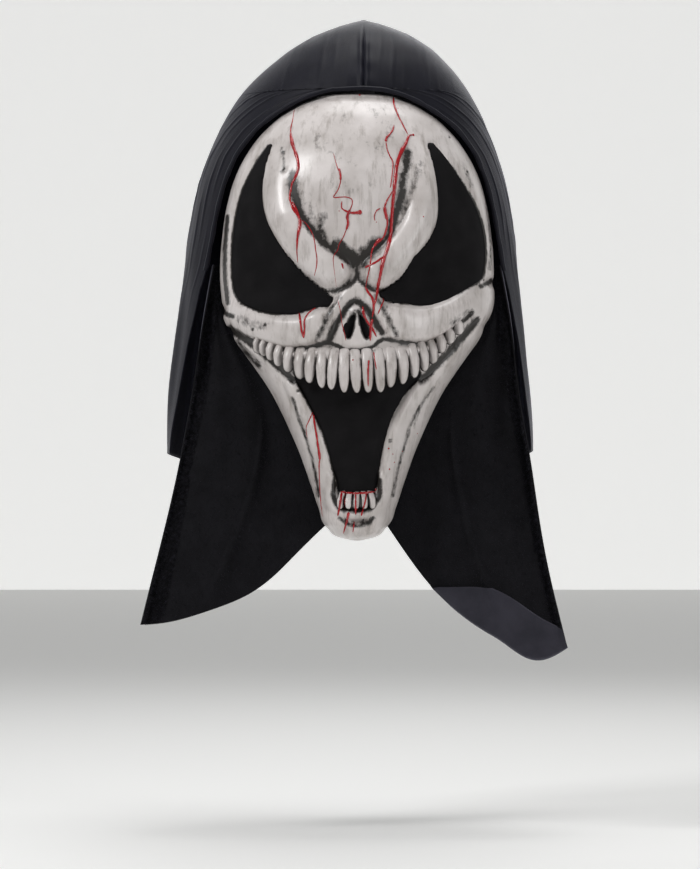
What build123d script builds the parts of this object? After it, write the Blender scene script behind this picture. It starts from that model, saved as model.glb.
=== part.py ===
"""Hooded skull mask: a moulded face shell with a sewn hood, two front drapes and an elastic head strap.

Frame: millimetres, +Z up, the face looks towards -Y, and +X is on the right of someone facing it.
The origin is the centre of the wearer's head.
"""

import math
import os

from build123d import *

# ---------------------------------------------------------------- driving sizes
mask_width = 206.0  # across the cheeks
mask_height = 329.0  # chin to top of the forehead
mask_depth = 96.0  # nose ridge to the rim beside the cheeks
shell_wall = 2.6  # moulded face shell
rim_land = 3.0  # straight edge that the shell ends in
cloth_wall = 1.4  # hood and drape cloth, folded edge included
mesh_wall = 0.8  # see-through cloth behind the openings
foam_wall = 8.0  # forehead pad
tape_wall = 0.6  # rim tape and seam tape
glue_gap = 0.2  # between parts that are glued or sewn face to face
seam_x = 5.0  # the hood is worn with its seam a little to one side
strap_width = 22.0
strap_wall = 1.6
pivot_radius = 2.5  # post that the strap turns on
pivot_clearance = 0.08
strap_height = 4.0  # drawn height of the posts
strap_ahead_of_rim = 12.0
cap_radius = 5.5
cap_wall = 1.6
cap_clearance = 0.02
brow_radius = 9.5
brow_lift = 1.0  # middle of a brow in front of the face form
upper_tooth_radius = 3.9
upper_tooth_length = 16.0
lower_tooth_radius = 3.0
lower_tooth_length = 10.0
tooth_root = 1.4  # from the shell's inside to the back of a tooth
nape_drop = 36.0  # how much lower the hem hangs at the nape than at the shoulders
nape_turn = 60.0  # behind the origin, where the hem is halfway down to the nape

# The shapes below are drawn for a mask of this size, and follow the driving sizes from there.
drawn_width, drawn_height, drawn_depth = 206.0, 329.0, 96.0
scale_x = mask_width / drawn_width
scale_y = mask_depth / drawn_depth
scale_z = mask_height / drawn_height

# Face form, chin to forehead: height, half width, how far forward the front is, how far forward the rim is
FACE_STATIONS = [
    (-203.0, 11.0, 84.0, 70.0),
    (-195.0, 22.0, 94.0, 68.0),
    (-180.0, 29.5, 100.0, 66.0),
    (-155.0, 37.5, 103.0, 61.0),
    (-125.0, 48.5, 106.0, 53.0),
    (-95.0, 63.0, 111.0, 43.0),
    (-68.0, 82.0, 115.0, 36.0),
    (-40.0, 98.5, 116.0, 31.0),
    (0.0, 102.5, 112.0, 29.0),
    (45.0, 97.0, 114.0, 31.0),
    (80.0, 84.5, 105.0, 37.0),
    (105.0, 62.0, 90.0, 44.0),
    (119.0, 36.0, 74.0, 52.0),
    (125.0, 16.0, 66.0, 58.0),
]
# Hood form, below the hem to the crown: height, half width, forward reach, backward reach
HOOD_STATIONS = [
    (-200.0, 131.0, 118.0, 124.0),
    (-140.0, 136.5, 112.0, 116.0),
    (-100.0, 135.0, 91.0, 109.0),
    (-59.0, 131.0, 82.0, 110.0),
    (-17.0, 126.5, 78.0, 114.0),
    (23.0, 122.5, 82.5, 117.0),
    (65.0, 114.5, 80.0, 115.0),
    (95.0, 103.5, 76.0, 109.0),
    (117.5, 93.0, 69.5, 102.0),
    (134.0, 82.0, 63.0, 93.0),
    (151.5, 65.5, 52.0, 79.5),
    (166.0, 47.0, 37.5, 61.0),
    (177.5, 24.5, 20.0, 37.0),
]
hood_crown = 184.5
# Front edge of the hood from the side, crown to shoulder: height, how far forward
HOOD_EDGE = [
    (127.2, 65.3),
    (122.0, 61.2),
    (112.0, 55.3),
    (99.0, 46.8),
    (80.0, 39.0),
    (60.0, 36.2),
    (20.0, 33.5),
    (0.0, 29.0),
    (-20.0, 22.0),
    (-60.0, 18.0),
    (-100.0, 18.0),
    (-150.0, 15.0),
    (-205.0, 14.0),
]
shoulder_hem = -140.0
binding_radius = 1.7
binding_ahead = 2.5  # from the cloth's edge to the middle of the rolled edge
binding_end = -5.0  # the rolled edge runs from here over the forehead to the other side

# Openings, seen from the front
EYE_LEFT = [
    (-65, 82), (-71.5, 62), (-71, 38), (-62, 16), (-50, -1), (-35, -16), (-20.5, -29.5),
    (-36, -36.5), (-55, -39), (-75, -35.5), (-88, -27), (-92, -5), (-90.5, 28), (-83, 54),
]  # fmt: skip
EYE_RIGHT = [
    (55.5, 82), (60, 62), (60.5, 34), (55, 14), (41, 0), (34, -14), (19.5, -25.5),
    (34, -31.5), (52, -31.5), (70, -24.5), (90, -13.5), (93.5, 4), (89, 30), (77, 56),
]  # fmt: skip
NOSTRIL_LEFT = [(-1.2, -40), (-5.5, -43), (-8.3, -51), (-6.8, -56.5), (-3.5, -53)]
NOSTRIL_RIGHT = [(1.2, -40), (5.0, -43), (8.8, -51), (8.0, -56.5), (3.8, -53)]
MOUTH = [
    (-12, -167), (-16.5, -153), (-22, -135), (-31, -115), (-44, -89), (-36, -82), (-20, -84),
    (0, -86), (20, -84), (36, -80), (45, -84), (31, -104), (20, -124), (16, -148), (13, -167),
]  # fmt: skip
upper_tooth_row = [(-44, -78), (-36, -81), (-27.5, -83), (-18.5, -84), (-9.5, -84.5)]
upper_tooth_row += [(0, -85), (9, -84.5), (17.5, -83.5), (26, -81.5), (34.5, -78.5), (43, -74)]
lower_tooth_row = [(-10, -172), (-3, -172), (4, -172), (11, -172)]

BROW_LEFT = [(-61, 62), (-60.5, 38), (-52, 15), (-36, -3), (-17, -14)]
BROW_RIGHT = [(51, 62), (51, 36), (44, 14), (30, -4), (16, -13)]
NOSE_RIDGE = [(-19, -56), (-11, -36), (0, -24), (11, -36), (19, -55)]
nose_radius = 4.5
nose_lift = 2.0  # middle of the nose ridge in front of the face form

# Drapes, top to bottom: height of the inner edge, then the outer edge as x, forward, z
DRAPE_LEFT = [
    (-2, (-106.5, 27, -1)),
    (-45, (-114.5, 26, -45)),
    (-92, (-122.5, 26, -95)),
    (-135, (-132, 28, -145)),
    (-170, (-145, 48, -205)),
    (-193, (-159, 68, -265)),
]
DRAPE_RIGHT = [
    (-2, (106.5, 27, -1)),
    (-45, (114.5, 26, -45)),
    (-92, (120.5, 26, -95)),
    (-135, (129, 28, -145)),
    (-170, (139, 50, -212)),
    (-193, (155, 70, -280)),
]
drape_belly = 9.0  # how far a drape swells forward between its edges
left_hem_sag = 20.0  # how far the lower edge bows down
right_hem_sag = 31.0
drape_gap = 2.6  # behind the shell's rim
drape_tuck = 1.0  # how far a drape's inner edge stands in from the shell's outline

# Inside the shell and hood
screen_margin = 5.0  # mesh cloth past the edge of an opening
screen_start = 52.0  # no mesh cloth behind this, where the shell's sides run back
nose_screen_size = (34.0, 30.0)
nose_screen_z = -49.0
brow_pad_size = (84.0, 34.0)
brow_pad_z = 84.0
brow_pad_corner = 10.0
tape_on_shell = 6.0
tape_past_rim = 7.0
seam_tape_width = 16.0
seam_tape_setback = 4.0
seam_gap = 0.2
lug_radius = 9.0
lug_depth = 4.5  # from the shell's inside to the flat that the strap lies on
post_length = 7.0
post_root = 1.0  # sunk in the lug
strap_play = 0.5  # on each side of the strap's end
strap_back = 97.0  # from the origin back to the strap's far side
strap_corner = 62.0
label_size = (25.0, 40.0)
label_wall = 0.5
label_above_nape = 50.0  # top of the label over the hem at the nape


# ---------------------------------------------------------------- shared geometry
reach = 300.0 * max(scale_x, scale_y)  # longer than the object, for cuts
past_rim = 80.0  # how far a hollow is carried behind the rim
os.makedirs("parts", exist_ok=True)


def at_height(stations, z, column):
    """A station table's value at a height, drawn size."""
    low, high = stations[0], stations[-1]
    for below, above in zip(stations, stations[1:]):
        if min(below[0], above[0]) <= z <= max(below[0], above[0]):
            low, high = below, above
    share = (z - low[0]) / (high[0] - low[0])
    return low[column] + share * (high[column] - low[column])


def face_front(x, z):
    """Y of the face form's front at a drawn place."""
    half, front, rim = (at_height(FACE_STATIONS, z, i) for i in (1, 2, 3))
    return -(rim + (front - rim) * math.sqrt(max(0.0, 1 - (x / half) ** 2))) * scale_y


def on_face(x, z, proud=0.0):
    """A point on the face form, moved towards the viewer by proud."""
    return Vector(x * scale_x, face_front(x, z) - proud, z * scale_z)


def outline(points, margin=0.0, forward=0.0):
    """A closed outline seen from the front, widened by margin, this far forward of the origin."""
    corners = [Vector(x * scale_x, z * scale_z) for x, z in points]
    turning = sum(a.cross(b).Z for a, b in zip(corners, corners[1:] + corners[:1]))
    outward = math.copysign(margin, turning)
    widened = []
    for index, corner in enumerate(corners):
        along = corners[(index + 1) % len(corners)] - corners[index - 1]
        widened.append(corner + Vector(along.Y, -along.X).normalized() * outward)
    with BuildSketch(Plane.XZ.offset(forward)) as shape:
        with BuildLine():
            Spline(*widened, periodic=True)
        make_face()
    return shape.sketch


def face_sections(inset, tail):
    """The face form's level sections, moved in by inset and carried straight back by tail."""
    sections = []
    bottom, top = FACE_STATIONS[0][0] * scale_z, FACE_STATIONS[-1][0] * scale_z
    for z, half, front, rim in FACE_STATIONS:
        level = (z * scale_z - bottom) / (top - bottom)
        height = bottom + inset + level * (top - bottom - 2 * inset)
        across = half * scale_x - inset
        reach = (front - rim) * scale_y - inset
        with BuildSketch(Plane.XY.offset(height)) as section:
            with BuildLine():
                EllipticalCenterArc((0, -rim * scale_y), across, reach, 180, arc_size=180)
                Polyline(
                    (across, -rim * scale_y),
                    (across, -rim * scale_y + tail),
                    (-across, -rim * scale_y + tail),
                    (-across, -rim * scale_y),
                )
            make_face()
        sections.append(section.sketch)
    return sections


def hood_sections(inset):
    """The hood form's level sections and its crown, moved in and down by inset."""
    sections = []
    for z, half, forward, backward in HOOD_STATIONS:
        middle = (backward - forward) / 2 * scale_y
        with BuildSketch(Plane.XY.offset(z * scale_z - inset)) as section:
            with Locations((0, middle)):
                Ellipse(half * scale_x - inset, (forward + backward) / 2 * scale_y - inset)
        sections.append(section.sketch)
    sections.append(Vertex(0, middle, hood_crown * scale_z - inset))
    return sections


def hood_edge_point(z, side, proud=0.0):
    """A point on the hood's front edge, on the side given as -1 or 1."""
    forward = at_height(HOOD_EDGE, z, 1)
    half, front, back = (at_height(HOOD_STATIONS, z, i) for i in (1, 2, 3))
    middle, reach = (back - front) / 2, (back + front) / 2
    across = half * math.sqrt(max(0.0, 1 - ((-forward - middle) / reach) ** 2))
    return Vector(side * across * scale_x, -forward * scale_y - proud, z * scale_z)


def front_of_hood(setback=0.0):
    """What lies in front of the hood's edge, or of a line this far behind it, seen from the side."""
    points = [(-y * scale_y + setback, z * scale_z) for z, y in HOOD_EDGE]
    with BuildSketch(Plane.YZ) as shape:
        with BuildLine():
            Spline(*points)
            Polyline(points[-1], (-reach, points[-1][1]), (-reach, points[0][1]), points[0])
        make_face()
    return shape.sketch


def below_hem():
    """What lies below the hood's hem, seen from the side."""
    side, nape = shoulder_hem * scale_z, (shoulder_hem - nape_drop) * scale_z
    with BuildSketch(Plane.YZ) as shape:
        with BuildLine():
            Spline((-reach, side), (0, side), (nape_turn * scale_y, (side + nape) / 2), (reach, nape))
            Polyline((reach, nape), (reach, nape - reach), (-reach, nape - reach), (-reach, side))
        make_face()
    return shape.sketch


def save(part, name):
    """Write one named piece to its own file."""
    part.label = name
    export_step(part, f"parts/{name}.step")
    print(name, round(part.volume), "mm3", len(part.solids()), "solid(s)")


def band(points, back_points):
    """A strip in side view between two lines of (y, z) points."""
    with BuildSketch(Plane.YZ) as shape:
        with BuildLine():
            Spline(*points)
            Spline(*back_points)
            Line(points[0], back_points[0])
            Line(points[-1], back_points[-1])
        make_face()
    return shape.sketch


def drape_face(rows, side, sag):
    """The middle of a drape, from behind the shell's rim to its outer edge."""
    steps = 6
    grid = []
    for index, (inner_z, (outer_x, outer_forward, outer_z)) in enumerate(rows):
        level = index / (len(rows) - 1)
        inner_x = side * (at_height(FACE_STATIONS, inner_z, 1) * scale_x - drape_tuck)
        inner_y = -at_height(FACE_STATIONS, inner_z, 3) * scale_y + rim_land + drape_gap
        row = []
        for step in range(steps + 1):
            share = step / steps
            bow = math.sin(math.pi * share) * level
            row.append(
                Vector(
                    inner_x + share * (outer_x * scale_x - inner_x),
                    inner_y + share * (-outer_forward * scale_y - inner_y) - drape_belly * bow,
                    (inner_z + share * (outer_z - inner_z) - sag * bow * level**2) * scale_z,
                )
            )
        grid.append(row)
    return Face.make_surface_from_array_of_points(grid)


# ---------------------------------------------------------------- face shell
with BuildPart() as face_shell:
    loft(face_sections(0, rim_land))
    for brow in (BROW_LEFT, BROW_RIGHT):
        ridge = [on_face(x, z, brow_lift) for x, z in brow]
        with BuildLine() as brow_line:
            Spline(*ridge)
        with BuildSketch(Plane(ridge[0], z_dir=brow_line.line % 0)):
            Circle(brow_radius)
        sweep(path=brow_line.line)
        with Locations(ridge[0], ridge[-1]):
            Sphere(brow_radius)
    with BuildLine() as nose_line:
        Spline(*[on_face(x, z, nose_lift) for x, z in NOSE_RIDGE])
    with BuildSketch(Plane(nose_line.line @ 0, z_dir=nose_line.line % 0)):
        Circle(nose_radius)
    sweep(path=nose_line.line)
    loft(face_sections(shell_wall, past_rim), mode=Mode.SUBTRACT)
    for opening in (EYE_LEFT, EYE_RIGHT, NOSTRIL_LEFT, NOSTRIL_RIGHT, MOUTH):
        extrude(outline(opening), amount=reach, mode=Mode.SUBTRACT)
    for teeth, radius, length in (
        (upper_tooth_row, upper_tooth_radius, upper_tooth_length),
        (lower_tooth_row, lower_tooth_radius, lower_tooth_length),
    ):
        for x, z in teeth:
            with Locations(on_face(x, z, radius * scale_x - shell_wall + tooth_root)):
                Cylinder(radius * scale_x, length * scale_z)
save(face_shell.part, "face_shell")

# ---------------------------------------------------------------- cloth behind the openings
inside = shell_wall + glue_gap
with BuildPart() as inner_form:
    loft(face_sections(inside, past_rim))

with BuildPart() as behind_mesh:
    loft(face_sections(inside + mesh_wall, past_rim))

with BuildSketch(Plane.XZ.offset(screen_start * scale_y)) as nose_patch:
    with Locations((0, nose_screen_z * scale_z)):
        Ellipse(nose_screen_size[0] / 2 * scale_x, nose_screen_size[1] / 2 * scale_z)

for name, shape in (
    ("eye_screen_left", outline(EYE_LEFT, screen_margin, screen_start * scale_y)),
    ("eye_screen_right", outline(EYE_RIGHT, screen_margin, screen_start * scale_y)),
    ("nose_screen", nose_patch.sketch),
    ("mouth_screen", outline(MOUTH, screen_margin, screen_start * scale_y)),
):
    with BuildPart() as screen:
        add(inner_form.part)
        extrude(shape, amount=reach, mode=Mode.INTERSECT)
        add(behind_mesh.part, mode=Mode.SUBTRACT)
    save(screen.part, name)

# ---------------------------------------------------------------- forehead pad
with BuildPart() as brow_pad:
    add(inner_form.part)
    with BuildSketch(Plane.XZ.offset(screen_start * scale_y)):
        with Locations((0, brow_pad_z * scale_z)):
            RectangleRounded(brow_pad_size[0] * scale_x, brow_pad_size[1] * scale_z, brow_pad_corner)
    extrude(amount=reach, mode=Mode.INTERSECT)
    with Locations((0, foam_wall, 0)):
        add(inner_form.part, mode=Mode.SUBTRACT)
save(brow_pad.part, "brow_pad")

# ---------------------------------------------------------------- tape round the rim
rim_line = [(-rim * scale_y + rim_land, z * scale_z) for z, _, _, rim in FACE_STATIONS]
with BuildPart() as rim_tape:
    add(inner_form.part)
    loft(face_sections(inside + tape_wall, past_rim), mode=Mode.SUBTRACT)
    extrude(
        band([(y - tape_on_shell, z) for y, z in rim_line], [(y + tape_past_rim, z) for y, z in rim_line]),
        amount=reach,
        both=True,
        mode=Mode.INTERSECT,
    )
save(rim_tape.part, "rim_tape")

# ---------------------------------------------------------------- hood
with BuildPart() as hood:
    loft(hood_sections(0))
    loft(hood_sections(cloth_wall), mode=Mode.SUBTRACT)
    extrude(front_of_hood(), amount=reach, both=True, mode=Mode.SUBTRACT)
    extrude(below_hem(), amount=reach, both=True, mode=Mode.SUBTRACT)

for name, keep, edge in (
    ("hood_left", Keep.BOTTOM, seam_x - seam_gap / 2),
    ("hood_right", Keep.TOP, seam_x + seam_gap / 2),
):
    with BuildPart() as half:
        add(hood.part)
        split(bisect_by=Plane.YZ.offset(edge), keep=keep)
    save(half.part, name)

with BuildPart() as crown_seam_tape:
    loft(hood_sections(cloth_wall + glue_gap))
    loft(hood_sections(cloth_wall + glue_gap + tape_wall), mode=Mode.SUBTRACT)
    extrude(front_of_hood(seam_tape_setback), amount=reach, both=True, mode=Mode.SUBTRACT)
    extrude(below_hem(), amount=reach, both=True, mode=Mode.SUBTRACT)
    with BuildSketch(Plane.XZ):
        with Locations((seam_x, 0)):
            Rectangle(seam_tape_width, 2 * reach)
    extrude(amount=reach, both=True, mode=Mode.INTERSECT)
save(crown_seam_tape.part, "crown_seam_tape")

# ---------------------------------------------------------------- rolled edge of the hood
with BuildPart() as hood_edge_binding:
    heights = [binding_end] + [z for z, _ in reversed(HOOD_EDGE) if z > binding_end]
    left_run = [hood_edge_point(z, -1, binding_ahead) for z in heights]
    right_run = [hood_edge_point(z, 1, binding_ahead) for z in reversed(heights[:-1])]
    with BuildLine() as binding_line:
        Spline(*left_run, *right_run)
    with BuildSketch(Plane(left_run[0], z_dir=binding_line.line % 0)):
        Circle(binding_radius)
    sweep(path=binding_line.line)
save(hood_edge_binding.part, "hood_edge_binding")

# ---------------------------------------------------------------- front drapes
for name, rows, side, sag in (
    ("drape_left", DRAPE_LEFT, -1, left_hem_sag),
    ("drape_right", DRAPE_RIGHT, 1, right_hem_sag),
):
    with BuildPart() as drape:
        thicken(drape_face(rows, side, sag), amount=cloth_wall / 2, both=True)
    save(drape.part, name)

# ---------------------------------------------------------------- strap, its anchors and caps
strap_z = strap_height * scale_z
pivot_y = -(at_height(FACE_STATIONS, strap_height, 3) + strap_ahead_of_rim) * scale_y
side_x = at_height(FACE_STATIONS, strap_height, 1) * scale_x
lug_face_x = side_x - inside - lug_depth
strap_outer_x = lug_face_x - strap_play
strap_inner_x = strap_outer_x - strap_wall
cap_outer_x = strap_inner_x - strap_play

for name, side in (("left", -1), ("right", 1)):
    lug_face = Plane((side * lug_face_x, pivot_y, strap_z), z_dir=(side, 0, 0))
    with BuildPart() as anchor:
        add(inner_form.part)
        with BuildSketch(lug_face):
            Circle(lug_radius)
        extrude(amount=reach, mode=Mode.INTERSECT)
        with BuildSketch(lug_face):
            Circle(pivot_radius)
        extrude(amount=post_root)
        with BuildSketch(lug_face):
            Circle(pivot_radius)
        extrude(amount=-post_length)
    save(anchor.part, f"strap_anchor_{name}")

    with BuildPart() as cap:
        with BuildSketch(Plane((side * cap_outer_x, pivot_y, strap_z), z_dir=(-side, 0, 0))):
            Circle(cap_radius)
            Circle(pivot_radius + cap_clearance, mode=Mode.SUBTRACT)
        extrude(amount=cap_wall)
        fillet(cap.edges().filter_by(GeomType.CIRCLE).sort_by(SortBy.RADIUS)[-2:], cap_wall / 4)
    save(cap.part, f"strap_cap_{name}")

with BuildPart() as elastic_strap:
    with BuildSketch(Plane.XY.offset(strap_z - strap_width / 2)):
        for half, back, corner, mode in (
            (strap_outer_x, strap_back * scale_y, strap_corner, Mode.ADD),
            (strap_inner_x, strap_back * scale_y - strap_wall, strap_corner - strap_wall, Mode.SUBTRACT),
        ):
            with BuildSketch(mode=mode) as loop:
                with Locations((0, pivot_y - strap_width)):
                    Rectangle(2 * half, back - pivot_y + strap_width, align=(Align.CENTER, Align.MIN))
                fillet(loop.vertices().group_by(Axis.Y)[-1], corner)
    extrude(amount=strap_width)
    with BuildSketch(Plane.YZ):
        with Locations((pivot_y, strap_z)):
            Rectangle(2 * strap_width, 2 * strap_width, align=(Align.MAX, Align.CENTER))
            Circle(strap_width / 2, mode=Mode.SUBTRACT)
            Circle(pivot_radius + pivot_clearance)
    extrude(amount=reach, both=True, mode=Mode.SUBTRACT)
save(elastic_strap.part, "elastic_strap")

# ---------------------------------------------------------------- blank care label at the nape
with BuildPart() as care_label:
    label_top = (shoulder_hem - nape_drop + label_above_nape) * scale_z
    loft(hood_sections(cloth_wall + glue_gap))
    loft(hood_sections(cloth_wall + glue_gap + label_wall), mode=Mode.SUBTRACT)
    with BuildSketch(Plane.XZ):
        with Locations((-seam_tape_width - label_size[0] / 2 * scale_x, label_top)):
            Rectangle(label_size[0] * scale_x, label_size[1] * scale_z, align=(Align.CENTER, Align.MAX))
    extrude(amount=-reach, mode=Mode.INTERSECT)
save(care_label.part, "care_label")
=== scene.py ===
"""A hooded skull mask: glossy moulded face, black hood with a rolled edge, two pile drapes, strap inside."""

import math
import random

import bmesh
import bpy
import numpy as np
from mathutils import Matrix, Vector
from mathutils.bvhtree import BVHTree


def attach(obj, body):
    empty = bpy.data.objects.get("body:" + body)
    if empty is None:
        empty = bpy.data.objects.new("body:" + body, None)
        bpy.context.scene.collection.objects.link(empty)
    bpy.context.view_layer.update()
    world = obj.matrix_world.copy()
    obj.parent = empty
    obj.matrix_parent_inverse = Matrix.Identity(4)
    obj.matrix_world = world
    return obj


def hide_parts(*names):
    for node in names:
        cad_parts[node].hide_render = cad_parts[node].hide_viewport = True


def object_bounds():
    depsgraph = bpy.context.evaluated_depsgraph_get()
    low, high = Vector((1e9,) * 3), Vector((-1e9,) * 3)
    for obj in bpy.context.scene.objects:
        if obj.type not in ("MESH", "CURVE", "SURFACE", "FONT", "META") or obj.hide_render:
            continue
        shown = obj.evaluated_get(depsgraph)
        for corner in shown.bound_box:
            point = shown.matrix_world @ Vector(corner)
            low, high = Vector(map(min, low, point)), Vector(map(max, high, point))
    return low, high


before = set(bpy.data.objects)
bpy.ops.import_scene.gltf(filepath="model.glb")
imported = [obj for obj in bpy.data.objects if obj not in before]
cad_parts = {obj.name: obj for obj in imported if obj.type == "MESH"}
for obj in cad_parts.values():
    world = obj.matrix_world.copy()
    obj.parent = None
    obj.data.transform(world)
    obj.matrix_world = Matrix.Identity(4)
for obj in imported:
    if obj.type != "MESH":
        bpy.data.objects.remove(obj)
cad_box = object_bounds()
random.seed(7)

# ======================================================================== view and light
# A pale studio: the mask hangs in front of a plain, faintly glowing backdrop, lit by a soft box on each
# side, one above and one behind. The camera stands level with it, straight ahead.
camera_distance = 3.2
face_plane = -0.06
view_x = -0.0051
view_z = -0.1268
view_height = 0.6387

camera = bpy.data.objects.new("camera", bpy.data.cameras.new("camera"))
bpy.context.collection.objects.link(camera)
camera.location = (view_x, face_plane - camera_distance, view_z)
camera.rotation_euler = (math.radians(90), 0, 0)
camera.data.sensor_width = 36.0
camera.data.lens = 36.0 * camera_distance / view_height
camera.data.clip_end = 50
bpy.context.scene.camera = camera


def plain(name, color, roughness):
    """A one-colour material for the stage."""
    made = bpy.data.materials.new(name)
    made.use_nodes = True
    shader = made.node_tree.nodes["Principled BSDF"]
    shader.inputs["Base Color"].default_value = (*color, 1)
    shader.inputs["Roughness"].default_value = roughness
    return made


def lamp(name, place, aim, size, power):
    """A soft box at a place, aimed at a point."""
    light = bpy.data.objects.new(name, bpy.data.lights.new(name, "AREA"))
    bpy.context.collection.objects.link(light)
    light.data.shape = "RECTANGLE"
    light.data.size, light.data.size_y = size
    light.data.energy = power
    light.location = place
    light.rotation_euler = (Vector(aim) - Vector(place)).to_track_quat("-Z", "Y").to_euler()


stage_size = 16
floor_gap = 0.14
backdrop_distance = 5.0
bpy.ops.mesh.primitive_plane_add(size=stage_size, location=(0, 0, cad_box[0][2] - floor_gap))
studio_floor = bpy.context.object
studio_floor.name = "studio_floor"
studio_floor.data.materials.append(plain("studio_floor", (0.86, 0.86, 0.85), 0.8))
bpy.ops.mesh.primitive_plane_add(
    size=stage_size, location=(0, backdrop_distance, 0), rotation=(math.radians(90), 0, 0)
)
backdrop = bpy.context.object
backdrop.name = "backdrop"
backdrop.data.materials.append(plain("backdrop", (0.93, 0.93, 0.92), 0.9))
paper = backdrop.data.materials[0].node_tree.nodes["Principled BSDF"]
paper.inputs["Emission Color"].default_value = (1, 1, 0.99, 1)
paper.inputs["Emission Strength"].default_value = 0.45

lamp("key_light", (-1.05, -0.85, 0.95), (0, -0.08, -0.02), (0.4, 0.5), 12)
lamp("fill_light", (1.1, -1.0, 0.1), (0, -0.08, -0.05), (0.35, 1.0), 5)
lamp("top_light", (0.1, 0.1, 1.3), (0, 0, 0), (0.8, 0.8), 9)
lamp("back_light", (0.2, 1.3, 0.9), (0, 0.05, 0), (1.0, 1.0), 5)
world = bpy.data.worlds.new("studio")
world.use_nodes = True
sky = world.node_tree.nodes["Background"]
sky.inputs["Color"].default_value = (1, 1, 1, 1)
sky.inputs["Strength"].default_value = 0.27
bpy.context.scene.world = world
bpy.context.scene.view_settings.view_transform = "Standard"

# ======================================================================== face shell
# The skull face, moulded in one with its brows, nose, cheekbones and jaw, 2.4 mm thick. It is a grid
# wrapped round the face's form, raised and sunk by its features, with the openings cut out of it.
millimetre = 0.001
shell_wall = 2.4
rows_down = 236
columns_across = 236

# Height, half width, forward reach of the front, forward reach of the rim
FACE_FORM = np.array([
    (-203.8, 3, 76, 71), (-202, 12, 84, 70), (-196, 20.5, 93, 68.5), (-180, 28, 100, 66), (-168, 32, 101, 64),
    (-155, 36.5, 102, 61), (-140, 42, 103, 57), (-125, 48.5, 104, 53), (-110, 55.5, 106, 48),
    (-95, 63.5, 108, 43), (-80, 73.5, 110, 39), (-68, 82, 112, 36), (-55, 91, 113, 33), (-40, 98.5, 112, 31),
    (-20, 102, 110, 29.5), (0, 102.6, 110, 29), (20, 101, 112, 29.5), (45, 97, 112, 31), (63, 91.5, 109, 34),
    (80, 83, 103, 37), (98, 69, 93, 42), (110, 54.5, 84, 47), (120, 34, 72, 53), (124, 19, 65, 57),
    (125.2, 5, 60, 58),
])  # fmt: skip


def smooth_table(z, table, column):
    """A form's value at a height, by cubic steps between the table's rows."""
    heights, values = table[:, 0], table[:, column]
    slopes = np.gradient(values, heights)
    index = np.clip(np.searchsorted(heights, z) - 1, 0, len(heights) - 2)
    width = heights[index + 1] - heights[index]
    share = np.clip((z - heights[index]) / width, 0, 1)
    left = 1 - share
    low = (1 + 2 * share) * left**2 * values[index] + share * left**2 * width * slopes[index]
    high = share**2 * (3 - 2 * share) * values[index + 1] - share**2 * left * width * slopes[index + 1]
    return low + high


def flowing(points, closed=False, pieces=10):
    """A smooth run of points through the ones given."""
    given = np.array(points, float)
    count = len(given)
    spans = count if closed else count - 1
    run = []
    for span in range(spans):
        around = [span - 1, span, span + 1, span + 2]
        picked = [i % count if closed else min(max(i, 0), count - 1) for i in around]
        before, start, end, after = given[picked]
        for step in range(pieces):
            t = step / pieces
            run.append(
                0.5 * (2 * start + (end - before) * t + (2 * before - 5 * start + 4 * end - after) * t**2
                       + (3 * start - before - 3 * end + after) * t**3)
            )  # fmt: skip
    if not closed:
        run.append(given[-1])
    return np.array(run)


def distance_to(x, z, line, closed=False):
    """Each place's distance to a line in front view, its share along it and the nearest point of it."""
    starts = line if closed else line[:-1]
    ends = np.roll(line, -1, axis=0) if closed else line[1:]
    places = np.stack([x, z], -1)
    best = np.full(x.shape, 1e9)
    along = np.zeros(x.shape)
    nearest = np.zeros(places.shape)
    for index, (start, end) in enumerate(zip(starts[:, :2], ends[:, :2])):
        step = end - start
        share = np.clip(((places - start) @ step) / (step @ step + 1e-12), 0, 1)
        foot = start + share[..., None] * step
        away = places - foot
        gap = np.hypot(away[..., 0], away[..., 1])
        closer = gap < best
        best = np.where(closer, gap, best)
        along = np.where(closer, (index + share) / len(starts), along)
        nearest = np.where(closer[..., None], foot, nearest)
    return best, along, nearest


def inside_of(x, z, line):
    """Whether places in front view lie inside a closed line."""
    within = np.zeros(x.shape, bool)
    for (x0, z0), (x1, z1) in zip(line, np.roll(line, -1, axis=0)):
        crosses = (z0 > z) != (z1 > z)
        with np.errstate(divide="ignore", invalid="ignore"):
            at = x0 + (z - z0) * (x1 - x0) / (z1 - z0)
        within ^= crosses & (x < at)
    return within


def bump(distance, width):
    """A round hill: 1 on its line and 0 from its width outward."""
    return np.where(distance < width, 0.5 + 0.5 * np.cos(np.pi * np.clip(distance / width, 0, 1)), 0)


def step_up(value, low, high):
    """0 below low, 1 above high, smooth between."""
    share = np.clip((value - low) / (high - low), 0, 1)
    return share * share * (3 - 2 * share)


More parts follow.
